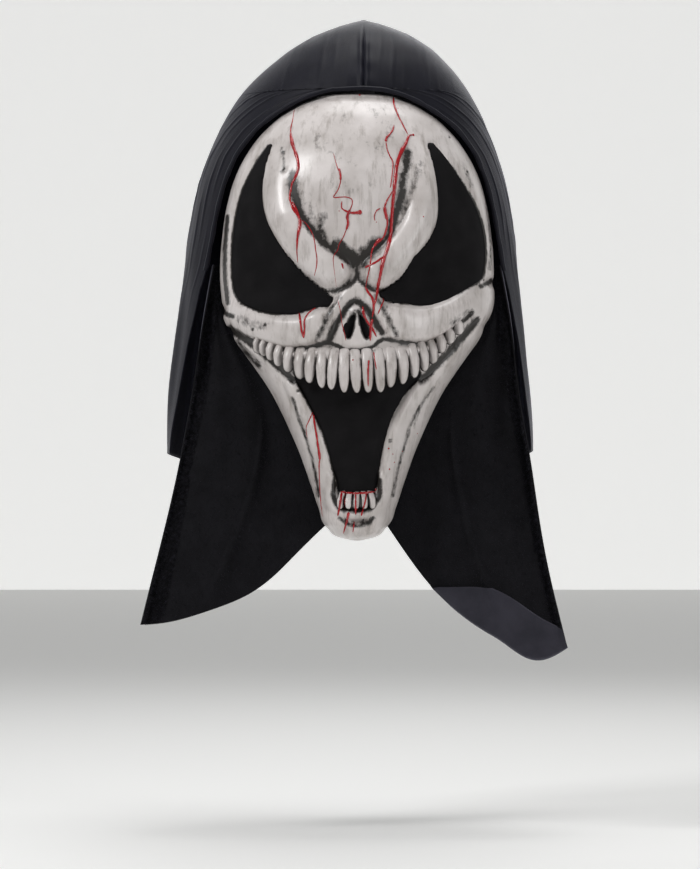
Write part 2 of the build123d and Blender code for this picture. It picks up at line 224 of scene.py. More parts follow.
# Openings in front view, millimetres
EYE_LEFT = flowing([
    (-65, 84.5), (-67.2, 78), (-69.8, 69), (-71.5, 52), (-69.5, 35), (-63.5, 20), (-57, 8.5), (-50, -1),
    (-42, -10), (-33, -18),
    (-25, -25.5), (-20, -30), (-30, -34.5), (-42, -38), (-55, -39), (-68, -37.5), (-80, -33), (-87.5, -27),
    (-91, -17), (-92, 0), (-91, 20), (-88.5, 36), (-84.5, 51), (-78, 65), (-70.5, 77), (-67, 82),
], closed=True, pieces=6)  # fmt: skip
EYE_RIGHT = flowing([
    (54.5, 84.5), (56.3, 78), (58.3, 69), (60, 55), (60.5, 40), (60, 28), (56.5, 18), (50, 8.5), (43, 2),
    (39, -5), (36, -12),
    (30, -18), (22, -23), (19, -25.5), (25, -29), (36, -31.5), (50, -31.5), (62, -28.5), (75, -22.5),
    (85, -17),
    (91.5, -12), (94, -3), (94.5, 12), (92.5, 26), (88, 39), (80, 53), (70, 67), (60.5, 78.5), (56.5, 82.5),
], closed=True, pieces=6)  # fmt: skip
NOSTRIL_LEFT = flowing([(-1.4, -40), (-5, -42.5), (-8, -50), (-7.3, -56.5), (-4.6, -56),
                        (-2.4, -48)], True, 6)
NOSTRIL_RIGHT = flowing([(1.4, -40), (4.4, -42), (8.3, -50), (8.8, -55.5), (6, -57), (3, -50)], True, 6)
MOUTH = flowing([
    (-12, -167), (-15, -160), (-18, -150), (-21, -137), (-25, -125), (-30, -115), (-35, -105), (-40, -96),
    (-45, -86), (-42, -79), (-30, -80), (-15, -82), (0, -83), (15, -82), (30, -79), (42, -77), (46, -84),
    (42, -89), (35, -96), (28, -106), (23.5, -116), (20, -126), (17.5, -139), (15.5, -151), (13.5, -166),
    (0, -168),
], closed=True, pieces=5)  # fmt: skip
OPENINGS = (EYE_LEFT, EYE_RIGHT, NOSTRIL_LEFT, NOSTRIL_RIGHT, MOUTH)

# Where the upper teeth stand, and the heights of their tips and of the gum over them
UPPER_TEETH = [-73, -68.5, -63, -57.3, -50, -41.8, -33.8, -25.6, -17.6, -9.4, -1, 7.6, 16.2, 24.6, 33.2,
               41.2, 48.4, 55, 61.3, 67.6, 74]  # fmt: skip
TOOTH_GAPS = [(left + right) / 2 for left, right in zip(UPPER_TEETH, UPPER_TEETH[1:])]
TIP_X = [-80, -72, -60, -50, -42, -33, -25, -16, -9, 0, 8, 16, 24, 33, 42, 50, 58, 65, 72, 80]
TIP_Z = [-62, -68, -75, -81, -86, -90, -93, -95.5, -97, -98, -97.5, -96, -93, -90, -86, -80, -72, -64,
         -56, -49]  # fmt: skip
GUM_X = [-83, -70, -55, -40, 0, 30, 55, 65, 80]
GUM_Z = [-54, -61, -66, -70, -72, -70, -63, -56, -42]

# Lines that the features follow
BROW_LEFT = flowing([(-63, 88), (-62, 68), (-60.5, 50), (-56, 34), (-48, 20), (-38, 8), (-27, -2),
                     (-17.5, -8.5)])
BROW_RIGHT = flowing([(51, 86), (52, 68), (52, 50), (49.5, 36), (43.5, 22), (34, 9), (24.5, -2), (15.5, -9)])
NOSE_ARCH = flowing([(-25, -56), (-20, -46), (-14, -35), (-7, -25.5), (0, -22), (7, -25), (14, -34),
                     (20, -44), (24, -54)])
NOSE_GROOVE = flowing([(-20, -58), (-15, -47), (-9, -37), (-2, -30), (5, -34), (12, -43), (18, -53)])
CHEEK_LEFT = flowing([(-92, -43), (-80, -46), (-66, -50), (-52, -52), (-40, -51), (-31, -46)])
CHEEK_RIGHT = flowing([(94, -29), (82, -36), (70, -42), (56, -46), (43, -47), (33, -44)])
UNDER_CHEEKS = flowing([(-94, -50), (-82, -56), (-69, -60), (-52, -65), (-34, -63.5), (-20, -60.5),
                        (-9, -65.5), (2, -66),
                        (11, -63.5), (19, -58), (32, -60), (48, -61), (60, -57), (72, -49),
                        (84, -38)])  # fmt: skip
GUM = flowing([(-84, -58), (-72, -64), (-58, -71), (-42, -75), (-20, -77), (0, -78), (20, -77), (40, -74),
               (55, -68),
               (68, -59), (80, -48)])  # fmt: skip
GRIN_LEFT = flowing([(-46, -88), (-54, -80), (-64, -71), (-75, -62), (-85, -55), (-94, -49)])
GRIN_RIGHT = flowing([(47, -87), (56, -78), (64, -70), (73, -60), (80, -52), (88, -43)])
ARM_LEFT = flowing([(-48, -90), (-42, -104), (-36.5, -118), (-30, -135), (-25.5, -152), (-22.5, -168),
                    (-16, -182)])
ARM_RIGHT = flowing([(50, -90), (42, -102), (33, -118), (28, -134), (24, -152), (21.5, -168), (16, -182)])
SLAB_LEFT = flowing([(-88, -62), (-76, -74), (-65, -88), (-56, -104), (-48, -122), (-41, -142),
                     (-35, -162), (-28, -182)])
SLAB_RIGHT = flowing([(84, -56), (74, -67), (64, -82), (54, -99), (45, -118), (38, -138), (32, -158),
                      (25, -182)])
LIP = flowing([(-19, -158), (-20, -170), (-17, -180), (-8, -184.5), (4, -184.5), (13, -181), (18.5, -172),
               (19, -158)])
CHIN = flowing([(-20, -188), (-12, -196), (0, -199), (11, -196), (18, -188)])


def over(first, second, softness=1.2):
    """The higher of two surfaces, with a small fillet in the crease between them."""
    return 0.5 * (first + second + np.sqrt((first - second) ** 2 + softness**2)) - 0.5 * softness


def rounded(x, z, line, width, tall, foot, fade=None):
    """A round-backed ridge along a line: its width each side, its height, how far its foot is sunk."""
    gap, share, _ = distance_to(x, z, line)
    profile = np.sqrt(np.clip(1 - (gap / width) ** 2, 0, 1))
    if fade is not None:
        tall = tall * np.interp(share, *fade)
    return (tall + foot) * profile - foot


def face_height(x, z):
    """How far the face's features stand out of its plain form, in millimetres, at places in front view."""
    # the forehead swells between the brows and sinks to a point above the nose
    height = 3.5 * bump(np.hypot((x + 2) / 44, (z - 56) / 60), 1.0)
    height -= 9.0 * bump(np.hypot(x / 25, (z - 4) / 30), 1.0)
    height -= 4.0 * bump(np.hypot((x + 37) / 11, (z - 34) / 34), 1.0)
    height -= 4.0 * bump(np.hypot((x - 34) / 11, (z - 42) / 38), 1.0)
    # the brows: two heavy rolls that come down round the forehead and end in blunt lobes
    left = rounded(x, z, BROW_LEFT, 15.0, 11.5, 6.0, ([0, 0.12, 0.45, 1], [0.05, 0.2, 0.85, 1.0]))
    right = rounded(x, z, BROW_RIGHT, 14.0, 11.5, 6.0, ([0, 0.12, 0.5, 1], [0.05, 0.25, 0.85, 1.0]))
    height = over(over(height, left), right)
    # the bridge, the arch of the nose, the groove inside it and the inner nose with its two slits
    bridge = bump(np.hypot(x / 40, (z + 40) / 24), 1.0)
    low = np.where(z < -14, over(height, rounded(x, z, NOSE_ARCH, 7.5, 6.5, 3.5)), height)
    height = over(low, low * (1 - bridge) + bridge * rounded(x, z, NOSE_ARCH, 7.5, 6.5, 3.5), 0.6)
    gap, _, _ = distance_to(x, z, NOSE_GROOVE)
    height -= 5.5 * bump(gap, 5.5) * step_up(-z, 26, 36)
    height = over(height, rounded(x, z, flowing([(0, -40), (0, -50), (0.5, -59)]), 9.5, 3.8, 4.0))
    # the cheekbones, full and glossy, and the gum that carries the teeth under them
    for cheek in (CHEEK_LEFT, CHEEK_RIGHT):
        height = over(height, rounded(x, z, cheek, 15.0, 8.5, 3.0, ([0, 0.2, 1], [0.75, 0.9, 1.0])))
    height = over(height, rounded(x, z, GUM, 13.0, 5.0, 3.0), 1.0)
    gap, _, _ = distance_to(x, z, UNDER_CHEEKS)
    height -= 4.5 * bump(gap, 3.6)
    # the jaw's arms: a flat outer slab, a rounder inner lip along the mouth, and a groove between them
    for slab, arm in ((SLAB_LEFT, ARM_LEFT), (SLAB_RIGHT, ARM_RIGHT)):
        height = over(height, rounded(x, z, slab, 13.0, 3.6, 3.0), 1.0)
        height = over(height, rounded(x, z, arm, 7.5, 5.0, 3.5), 0.8)
    for grin in (GRIN_LEFT, GRIN_RIGHT):
        gap, share, _ = distance_to(x, z, grin)
        height -= (7.5 - 3.0 * share) * bump(gap, 4.2)
    # lower lip round the small teeth, the box behind it, the chin and its three-cornered dimple
    height -= 4.0 * bump(np.hypot(x / 15, (z + 171) / 11), 1.0)
    height = over(height, rounded(x, z, LIP, 4.6, 5.0, 3.0), 0.6)
    height = over(height, rounded(x, z, CHIN, 8.0, 4.0, 3.0), 0.8)
    height -= 4.5 * bump(np.hypot(x / 11, (z + 189.5) / 3.6), 1.0)
    # edges of the openings roll in
    rolls = ((EYE_LEFT, 6.5, 7), (EYE_RIGHT, 6.5, 7), (MOUTH, 5.0, 5), (NOSTRIL_LEFT, 2, 2))
    for opening, depth, width in rolls:
        gap, _, _ = distance_to(x, z, opening, closed=True)
        height -= depth * (1 - np.sqrt(1 - np.clip(1 - gap / width, 0, 1) ** 2))
    # notches where the cheekbones meet the rim, and small knocks
    for place in ((-100, -35), (98.5, -14)):
        height -= 5.0 * bump(np.hypot(x - place[0], (z - place[1]) * 1.3), 8.0)
    for place, size in CHIPS:
        height -= 1.8 * bump(np.hypot(x - place[0], (z - place[1]) * 0.8), size)
    return height


# Small knocks moulded in the bone
CHIPS = (((-43, -95), 2.6), ((-67, -47), 2.6), ((73, -62), 2.4), ((83, -38), 3.2), ((-54, 79), 2.2),
          ((-53, 66), 1.8),
         ((-76, -50), 2.2), ((68, 92), 2.0), ((81, 66), 2.0), ((-31, -107), 1.8),
         ((24, -131), 2.4))  # fmt: skip


def face_form(angle, z):
    """The plain form of the face: places at an angle round from straight ahead, at heights."""
    half, front, rim = (smooth_table(z, FACE_FORM, i) for i in (1, 2, 3))
    return half * np.sin(angle), -(rim + (front - rim) * np.cos(angle))


face = bmesh.new()
bmesh.ops.create_grid(face, x_segments=columns_across, y_segments=rows_down, size=1.0)
grid = np.array([v.co[:] for v in face.verts])
angle = np.radians(90) * (0.82 * grid[:, 0] + 0.18 * grid[:, 0] ** 3)
level = 0.5 + 0.5 * grid[:, 1]
# rows crowd together at the teeth, the nose and both ends
crowd_z = np.array([-203.8, -202, -196, -168, -125, -100, -34, 20, 80, 110, 122, 125.2])
crowd_rows = np.array([0, 3, 10, 30, 54, 72, 132, 166, 202, 222, 232, 236]) / 236
height_of_row = np.interp(level, crowd_rows, crowd_z)
form_x, form_y = face_form(angle, height_of_row)
form = np.stack([form_x, form_y, height_of_row], -1)

for vert, place in zip(face.verts, form):
    vert.co = place
face.normal_update()
outward = np.array([v.normal[:] for v in face.verts])
if outward[np.argmin(form_y), 1] > 0:
    outward = -outward
    bmesh.ops.reverse_faces(face, faces=face.faces[:])
relief = face_height(form_x, height_of_row)
# features push forward more than sideways, so that outlines stay put in front view
push = outward * np.array([0.35, 1.0, 0.25])
push[:, 1] = np.minimum(push[:, 1], -0.45)
placed = form + push * relief[:, None]
for vert, place in zip(face.verts, placed):
    vert.co = place

# Each opening is cut along its outline: edges that cross it are split there, the splits are joined
# across every face, and what lies inside is taken out.
snap = 0.25
for opening in OPENINGS:
    verts = face.verts[:]
    xz = np.array([(v.co.x, v.co.z) for v in verts])
    gap, _, nearest = distance_to(xz[:, 0], xz[:, 1], opening, closed=True)
    signed = np.where(inside_of(xz[:, 0], xz[:, 1], opening), -gap, gap)
    signed[gap < snap] = 0
    for index in np.flatnonzero(gap < snap):
        verts[index].co.x, verts[index].co.z = nearest[index]
    value = dict(zip(verts, signed))
    for edge in face.edges[:]:
        start, end = edge.verts
        if value[start] * value[end] < 0:
            _, made = bmesh.utils.edge_split(edge, start, value[start] / (value[start] - value[end]))
            value[made] = 0
    bmesh.ops.connect_verts(face, verts=[v for v in face.verts if value[v] == 0])
    inside = [f for f in face.faces if min(value[v] for v in f.verts) < 0]
    bmesh.ops.delete(face, geom=inside, context="FACES")
bmesh.ops.triangulate(face, faces=[f for f in face.faces if len(f.verts) > 4])
bmesh.ops.dissolve_degenerate(face, dist=0.02, edges=face.edges[:])
# the depth of the cut edges, and of two rows beside them, is evened out
edging = {v for e in face.edges if e.is_boundary for v in e.verts}
for _ in range(2):
    edging |= {e.other_vert(v) for v in edging for e in v.link_edges}
for _ in range(5):
    bmesh.ops.smooth_vert(
        face, verts=list(edging), factor=0.5, use_axis_x=False, use_axis_y=True, use_axis_z=False
    )


def shade_of(bm, smoothing):
    """How hollow the surface is at each vertex, from how it bends, smoothed so many times."""
    bm.normal_update()
    hollow = {}
    for vert in bm.verts:
        total = 0.0
        for link in vert.link_edges:
            across = link.other_vert(vert).co - vert.co
            total += across.dot(vert.normal) / max(across.length_squared, 1e-6)
        hollow[vert] = total / max(len(vert.link_edges), 1)
    for _ in range(smoothing):
        hollow = {
            v: 0.5 * hollow[v]
            + 0.5 * sum(hollow[e.other_vert(v)] for e in v.link_edges) / max(len(v.link_edges), 1)
            for v in bm.verts
        }
    return np.array([hollow[v] for v in bm.verts])


# how strongly the hollows darken (dark antique paint and painted shade), and how strongly the broad hollows
# take a painted shadow
hollow_paint_and_shade_gain = 7.0
shadow_wash_gain = 22.0
brush_spread = 1.7
hollow = shade_of(face, 4)
broad = shade_of(face, 26)
xz = np.array([(v.co.x, v.co.z) for v in face.verts])
fx, fz = xz[:, 0], xz[:, 1]
# darker in the hollows, from how the surface bends: dark antique paint and painted shade
dark_paint_and_shade = np.clip(hollow * hollow_paint_and_shade_gain, 0, 1)
# dark paint brushed along lines: points, width, strength
PAINT = (
    ([(-47, 62), (-46, 50), (-43, 39), (-37, 27), (-29, 17), (-20, 9), (-10, 2), (-2, -3)], 4.0, 0.9),
    ([(-24, 32), (-26, 22), (-21, 11)], 3.5, 0.65),
    ([(-38, 46), (-33, 30), (-25, 16)], 6.0, 0.34),
    ([(-30, 88), (-14, 74), (4, 68)], 7.0, 0.24),
    ([(-22, 58), (-6, 50), (14, 54)], 6.0, 0.2),
    ([(8, 86), (24, 74), (30, 60)], 6.0, 0.26),
    ([(-55, 82), (-53, 72), (-55, 64)], 1.8, 0.55),
    ([(37, 78), (34, 60), (32, 46), (27, 30), (22, 16), (12, 6), (3, -3)], 4.0, 0.85),
    ([(46, 70), (42, 56), (37, 44), (33, 34)], 4.0, 0.42),
    ([(-14, 10), (-6, 3), (0, -1), (7, 4), (14, 11)], 6.5, 0.95),
    ([(4, 8), (1, 0), (0, -8)], 3.0, 0.7),
    ([(0, -8), (-1, -14), (-6, -19), (-16, -23), (-26, -22)], 2.2, 0.9),
    ([(0, -8), (1, -14), (6, -19), (16, -23), (28, -19)], 2.2, 0.9),
    ([(-95.5, 34), (-97, 10), (-97, -12), (-95, -30)], 2.3, 0.95),
    ([(92, 60), (96.5, 40), (98.5, 15), (98, -5)], 1.8, 0.6),
    ([(-101, -33), (-96, -38), (-91, -40)], 2.2, 0.95),
    ([(99.5, -13), (95, -16), (91, -18)], 2.2, 0.95),
    (GRIN_LEFT, 3.4, 1.0),
    (GRIN_RIGHT, 3.4, 1.0),
    (NOSE_GROOVE, 3.0, 1.0),
    (UNDER_CHEEKS, 1.9, 1.0),
    ([(-29, -58), (-24, -47), (-19, -37), (-12, -27)], 2.4, 0.6),
    ([(29, -56), (24, -46), (19, -36), (13, -27)], 2.4, 0.6),
    ([(-4, -40), (0, -38), (4, -40)], 2.5, 0.7),
    ([(-13, -187.5), (-8, -191), (0, -193), (8, -191), (12, -187.5)], 2.0, 0.75),
    ([(-16.5, -160), (-17, -172), (-12, -180), (0, -181.5), (10, -180), (15.5, -172), (16, -160)], 2.6, 0.9),
    ([(-47, -100), (-42, -116), (-36, -134), (-31, -152), (-28, -172)], 1.7, 0.65),
    ([(50, -100), (41, -116), (35, -134), (30, -152), (26, -172)], 1.7, 0.65),
    ([(56, -92), (47, -106), (41, -122)], 1.3, 0.6),
    ([(-88, -58), (-80, -68), (-72, -76)], 3.0, 0.7),
    ([(-86, -42), (-76, -47), (-68, -48)], 4.0, 0.5),
    ([(84, -36), (76, -42), (70, -45)], 3.5, 0.5),
    ([(22, -96), (26, -108)], 1.0, 0.3),
    ([(20, 100), (12, 110), (26, 92)], 7.0, 0.28),
    ([(-16, 90), (-10, 104)], 6.0, 0.22),
    ([(78, 72), (84, 56)], 2.5, 0.4),
)
for points, width, strength in PAINT:
    gap, _, _ = distance_to(fx, fz, points if len(points) > 20 else flowing(points))
    dark_paint_and_shade = np.maximum(dark_paint_and_shade, strength * bump(gap, width * brush_spread))
for place, size in CHIPS:
    dark_paint_and_shade = np.maximum(dark_paint_and_shade, 0.9 * bump(np.hypot(fx - place[0], fz - place[1]), size * 1.2))
for opening in OPENINGS:
    gap, _, _ = distance_to(fx, fz, opening, closed=True)
    dark_paint_and_shade = np.maximum(dark_paint_and_shade, 0.9 * bump(gap, 2.6))
# painted shade in the slits between the teeth, up to the gum
gum_here = np.interp(fx, TIP_X, TIP_Z) < fz
between = np.min(np.abs(fx[:, None] - np.array(TOOTH_GAPS)[None, :]), axis=1)
gum_top = np.interp(fx, GUM_X, GUM_Z)
in_row = gum_here * step_up(gum_top - fz, -2, 5) * (np.abs(fx) < 84)
dark_paint_and_shade = np.maximum(dark_paint_and_shade, 0.95 * bump(between, 2.4) * in_row)
# painted shade: a broad shadow over the larger hollows
shadow_wash = np.clip(broad * shadow_wash_gain, 0, 1)


def mesh_of(bm, name):
    """The mesh of a shape drawn in millimetres."""
    bmesh.ops.scale(bm, verts=bm.verts[:], vec=(millimetre,) * 3)
    made = bpy.data.meshes.new(name)
    bm.to_mesh(made)
    bm.free()
    return made


def painted_on(mesh, name, values):
    """Keeps a value for each vertex, which the paint reads."""
    mesh.attributes.new(name, "FLOAT", "POINT").data.foreach_set("value", np.array(values, np.float32))


def finished(mesh, name, *materials):
    """An object of a mesh, smooth and in its materials."""
    mesh.shade_smooth()
    for material in materials:
        mesh.materials.append(material)
    made = bpy.data.objects.new(name, mesh)
    bpy.context.collection.objects.link(made)
    return made


face_mesh = mesh_of(face, "face_shell_moulded")
painted_on(face_mesh, "dark_paint_and_shade", dark_paint_and_shade)
painted_on(face_mesh, "shadow_wash", shadow_wash)


def new_material(name):
    """A material, its node tree and its shader."""
    made = bpy.data.materials.new(name)
    made.use_nodes = True
    tree = made.node_tree
    return made, tree, tree.nodes["Principled BSDF"]


def add_node(tree, kind, values=None, **settings):
    """A node of a kind, its settings, and its inputs: a number, a colour or another node's output."""
    made = tree.nodes.new(kind)
    for key, value in settings.items():
        setattr(made, key, value)
    for key, value in (values or {}).items():
        if isinstance(value, bpy.types.NodeSocket):
            tree.links.new(value, made.inputs[key])
        else:
            made.inputs[key].default_value = value
    return made


def object_place(tree):
    """Where a point is on its object."""
    return add_node(tree, "ShaderNodeTexCoord").outputs["Object"]


def ramp(tree, factor, stops):
    """A colour ramp: its input, then (place, grey or colour) stops."""
    made = add_node(tree, "ShaderNodeValToRGB", {"Fac": factor})
    bands = made.color_ramp.elements
    while len(bands) < len(stops):
        bands.new(0.5)
    for band, (place, tone) in zip(bands, stops):
        band.position = place
        band.color = (*tone, 1) if isinstance(tone, tuple) else (tone, tone, tone, 1)
    return made.outputs["Color"]


def mixed(tree, factor, first, second):
    """Two colours mixed."""
    made = add_node(tree, "ShaderNodeMix", data_type="RGBA")
    for key, value in ((0, factor), (6, first), (7, second)):
        if isinstance(value, bpy.types.NodeSocket):
            tree.links.new(value, made.inputs[key])
        elif key:
            made.inputs[key].default_value = (*value, 1)
        else:
            made.inputs[key].default_value = value
    return made.outputs[2]


def maths(tree, operation, *values):
    """A maths node's result."""
    return add_node(tree, "ShaderNodeMath", dict(enumerate(values)), operation=operation).outputs[0]


def noise(tree, place, scale, detail=4.0, roughness=0.55, stretch=None):
    """Noise over the surface, stretched along an axis if asked."""
    if stretch:
        place = add_node(tree, "ShaderNodeMapping", {"Vector": place, "Scale": stretch}).outputs[0]
    made = add_node(tree, "ShaderNodeTexNoise", {"Vector": place, "Scale": scale, "Detail": detail})
    made.inputs["Roughness"].default_value = roughness
    return made.outputs["Fac"]


def bumped(tree, shader, height, strength, distance):
    """Gives a shader its fine relief."""
    made = add_node(tree, "ShaderNodeBump", {"Height": height, "Strength": strength, "Distance": distance})
    tree.links.new(made.outputs["Normal"], shader.inputs["Normal"])


# glossy bone paint, dry-brushed downwards, darkened in the hollows with antique paint and painted shade, and
# a broad painted shadow over the larger hollows
bone, tree, shader = new_material("painted_bone")
place = object_place(tree)
cloudy = noise(tree, place, 38, 5)
streaks = noise(tree, place, 170, 6, 0.7, stretch=(1.0, 0.6, 0.16))
fine = noise(tree, place, 900, 4)
patches = ramp(tree, cloudy, [(0.35, 0.0), (0.7, 1.0)])
bone_tone = mixed(tree, patches, (0.68, 0.635, 0.62), (0.50, 0.46, 0.44))
brushed = mixed(tree, ramp(tree, streaks, [(0.50, 0.0), (0.74, 0.75)]), bone_tone, (0.24, 0.205, 0.18))
# painted shade: a dark wash over the broad hollows
shadow_wash = add_node(tree, "ShaderNodeAttribute", attribute_name="shadow_wash").outputs["Fac"]
shadow_wash_share = maths(tree, "MULTIPLY", shadow_wash, maths(tree, "MULTIPLY_ADD", cloudy, 1.0, 0.3))
shadow_washed = mixed(tree, shadow_wash_share, brushed, (0.13, 0.105, 0.09))
# dark antique paint and painted shade from the vertices, broken up into ragged edges
dark_paint_and_shade_here = add_node(tree, "ShaderNodeAttribute", attribute_name="dark_paint_and_shade").outputs["Fac"]
rough = noise(tree, place, 260, 5, 0.65)
streaky_edge = maths(tree, "MULTIPLY_ADD", streaks, 1.3, -0.65)
rough_edge = maths(tree, "MULTIPLY_ADD", rough, 1.4, -0.7)
ragged = maths(tree, "ADD", streaky_edge, rough_edge)
ragged_paint_and_shade = maths(tree, "ADD", dark_paint_and_shade_here, maths(tree, "MULTIPLY", ragged, 0.75))
dark_share = ramp(tree, ragged_paint_and_shade, [(0.26, 0.0), (0.50, 0.5), (0.72, 1.0)])
pitted = ramp(tree, fine, [(0.66, 0.0), (0.72, 0.5)])
painted = mixed(tree, dark_share, shadow_washed, (0.012, 0.009, 0.007))
speckled = mixed(tree, maths(tree, "MULTIPLY", pitted, dark_paint_and_shade_here), painted, (0.02, 0.015, 0.012))
tree.links.new(speckled, shader.inputs["Base Color"])
tree.links.new(ramp(tree, ragged_paint_and_shade, [(0.2, 0.34), (0.9, 0.5)]), shader.inputs["Roughness"])
shader.inputs["Coat Weight"].default_value = 0.22
shader.inputs["Coat Roughness"].default_value = 0.16
bumped(tree, shader, maths(tree, "ADD", streaks, maths(tree, "MULTIPLY", fine, 0.25)), 0.18, 0.0006)
face_shell = finished(face_mesh, "face_shell_moulded", bone)
wall = face_shell.modifiers.new("wall", "SOLIDIFY")
wall.thickness = shell_wall * millimetre
wall.offset = -1.0
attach(face_shell, "mask")
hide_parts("face_shell")

# ======================================================================== teeth
# Twenty-one blunt upper teeth and five small lower ones, moulded with the face: they stand out of its
# gums side by side, painted darker in the slits between them and where they turn from the front: painted
# shade.
LOWER_TEETH = (-12, -6.2, -0.4, 5.4, 11)
root_sink = 6.4
between_rows = -110


def tooth(bm, x, low, high, width, depth, sunk, slim_tip):
    """A blunt tooth between two heights, its back sunk in the gum, its root fading into it."""
    middle, tall = (low + high) / 2, (high - low) / 2
    half, front, rim = (smooth_table(np.array([middle]), FACE_FORM, i)[0] for i in (1, 2, 3))
    lean = math.asin(max(-0.98, min(0.98, x / half)))
    stand = Vector((x, -(rim + (front - rim) * math.cos(lean)) - sunk * math.cos(lean) ** 2, middle))
    bend = random.uniform(-0.06, 0.06)
    for vert in bmesh.ops.create_uvsphere(bm, u_segments=20, v_segments=18, radius=1.0)["verts"]:
        a, b, c = vert.co
        length = math.copysign(abs(c) ** 0.55, c)
        girth = (1 - abs(length) ** (14 if length > 0 else 5)) ** 0.5 if abs(length) < 1 else 0
        ring = math.hypot(a, b)
        a, b = (a / ring, b / ring) if ring > 1e-6 else (0, 0)
        # squarer than round across, and slimmer towards the tip
        a, b = (math.copysign(abs(t) ** 0.72, t) for t in (a, b))
        slim = 1 - slim_tip * max(0.0, -length) ** 1.5
        root = max(0.0, length)
        thick = b * girth * depth * (1 - 0.2 * root**2)
        local = Vector((a * girth * width / 2 * slim, thick, length * tall))
        local.y += root_sink * root**1.2 + 0.5 * max(0.0, -length) ** 2
        local.x += bend * length * tall
        local.rotate(Matrix.Rotation(lean * 0.8, 3, "Z"))
        vert.co = stand + local


teeth = bmesh.new()
for x in UPPER_TEETH:
    width = 2 * min(abs(x - gap) for gap in TOOTH_GAPS)
    tip = np.interp(x, TIP_X, TIP_Z) + random.uniform(-1.0, 1.0)
    root_top = np.interp(x, GUM_X, GUM_Z) + 8.0
    tooth(teeth, x, tip, root_top, width * 1.05, 2.6 + 0.27 * width, 3.4, 0.26)
for x in LOWER_TEETH:
    tooth(teeth, x, -181, -167.5 + random.uniform(-0.8, 0.6), 4.8, 3.0, 2.4, 0.0)
bmesh.ops.recalc_face_normals(teeth, faces=teeth.faces[:])
teeth.normal_update()
# painted shade: darker where a tooth's face turns away from the front, and towards its sides beside its
# neighbours
tooth_shade = []
for vert in teeth.verts:
    centre = min(UPPER_TEETH if vert.co.z > between_rows else LOWER_TEETH, key=lambda c: abs(c - vert.co.x))
    sideways = float(step_up(vert.normal.y, -0.72, -0.2))
    tooth_shade.append(max(sideways, 0.25 * float(step_up(abs(vert.co.x - centre), 1.5, 4.0))))
teeth_mesh = mesh_of(teeth, "teeth")
painted_on(teeth_mesh, "shadow_wash", 0.5 * np.array(tooth_shade))
painted_on(teeth_mesh, "dark_paint_and_shade", tooth_shade)
teeth_piece = finished(teeth_mesh, "teeth", bone)
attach(teeth_piece, "mask")

# ======================================================================== blood
# Thin red runs, laid on the glossy paint as raised beads that thin out, pool and fork.
bead_share = 0.58
longest_gap = 0.009
farthest_back = -0.02


def on_shell(x, z):
    """The point of the face or teeth seen from the front at a place, or None in an opening."""
    start = Vector((x, -300, z)) * millimetre
    hit = solid_tree.ray_cast(start, Vector((0, 1, 0)))[0]
    return None if hit is None or hit.y > farthest_back else hit


both = bmesh.new()
both.from_mesh(face_mesh)
both.from_mesh(teeth_mesh)
solid_tree = BVHTree.FromBMesh(both)
both.free()

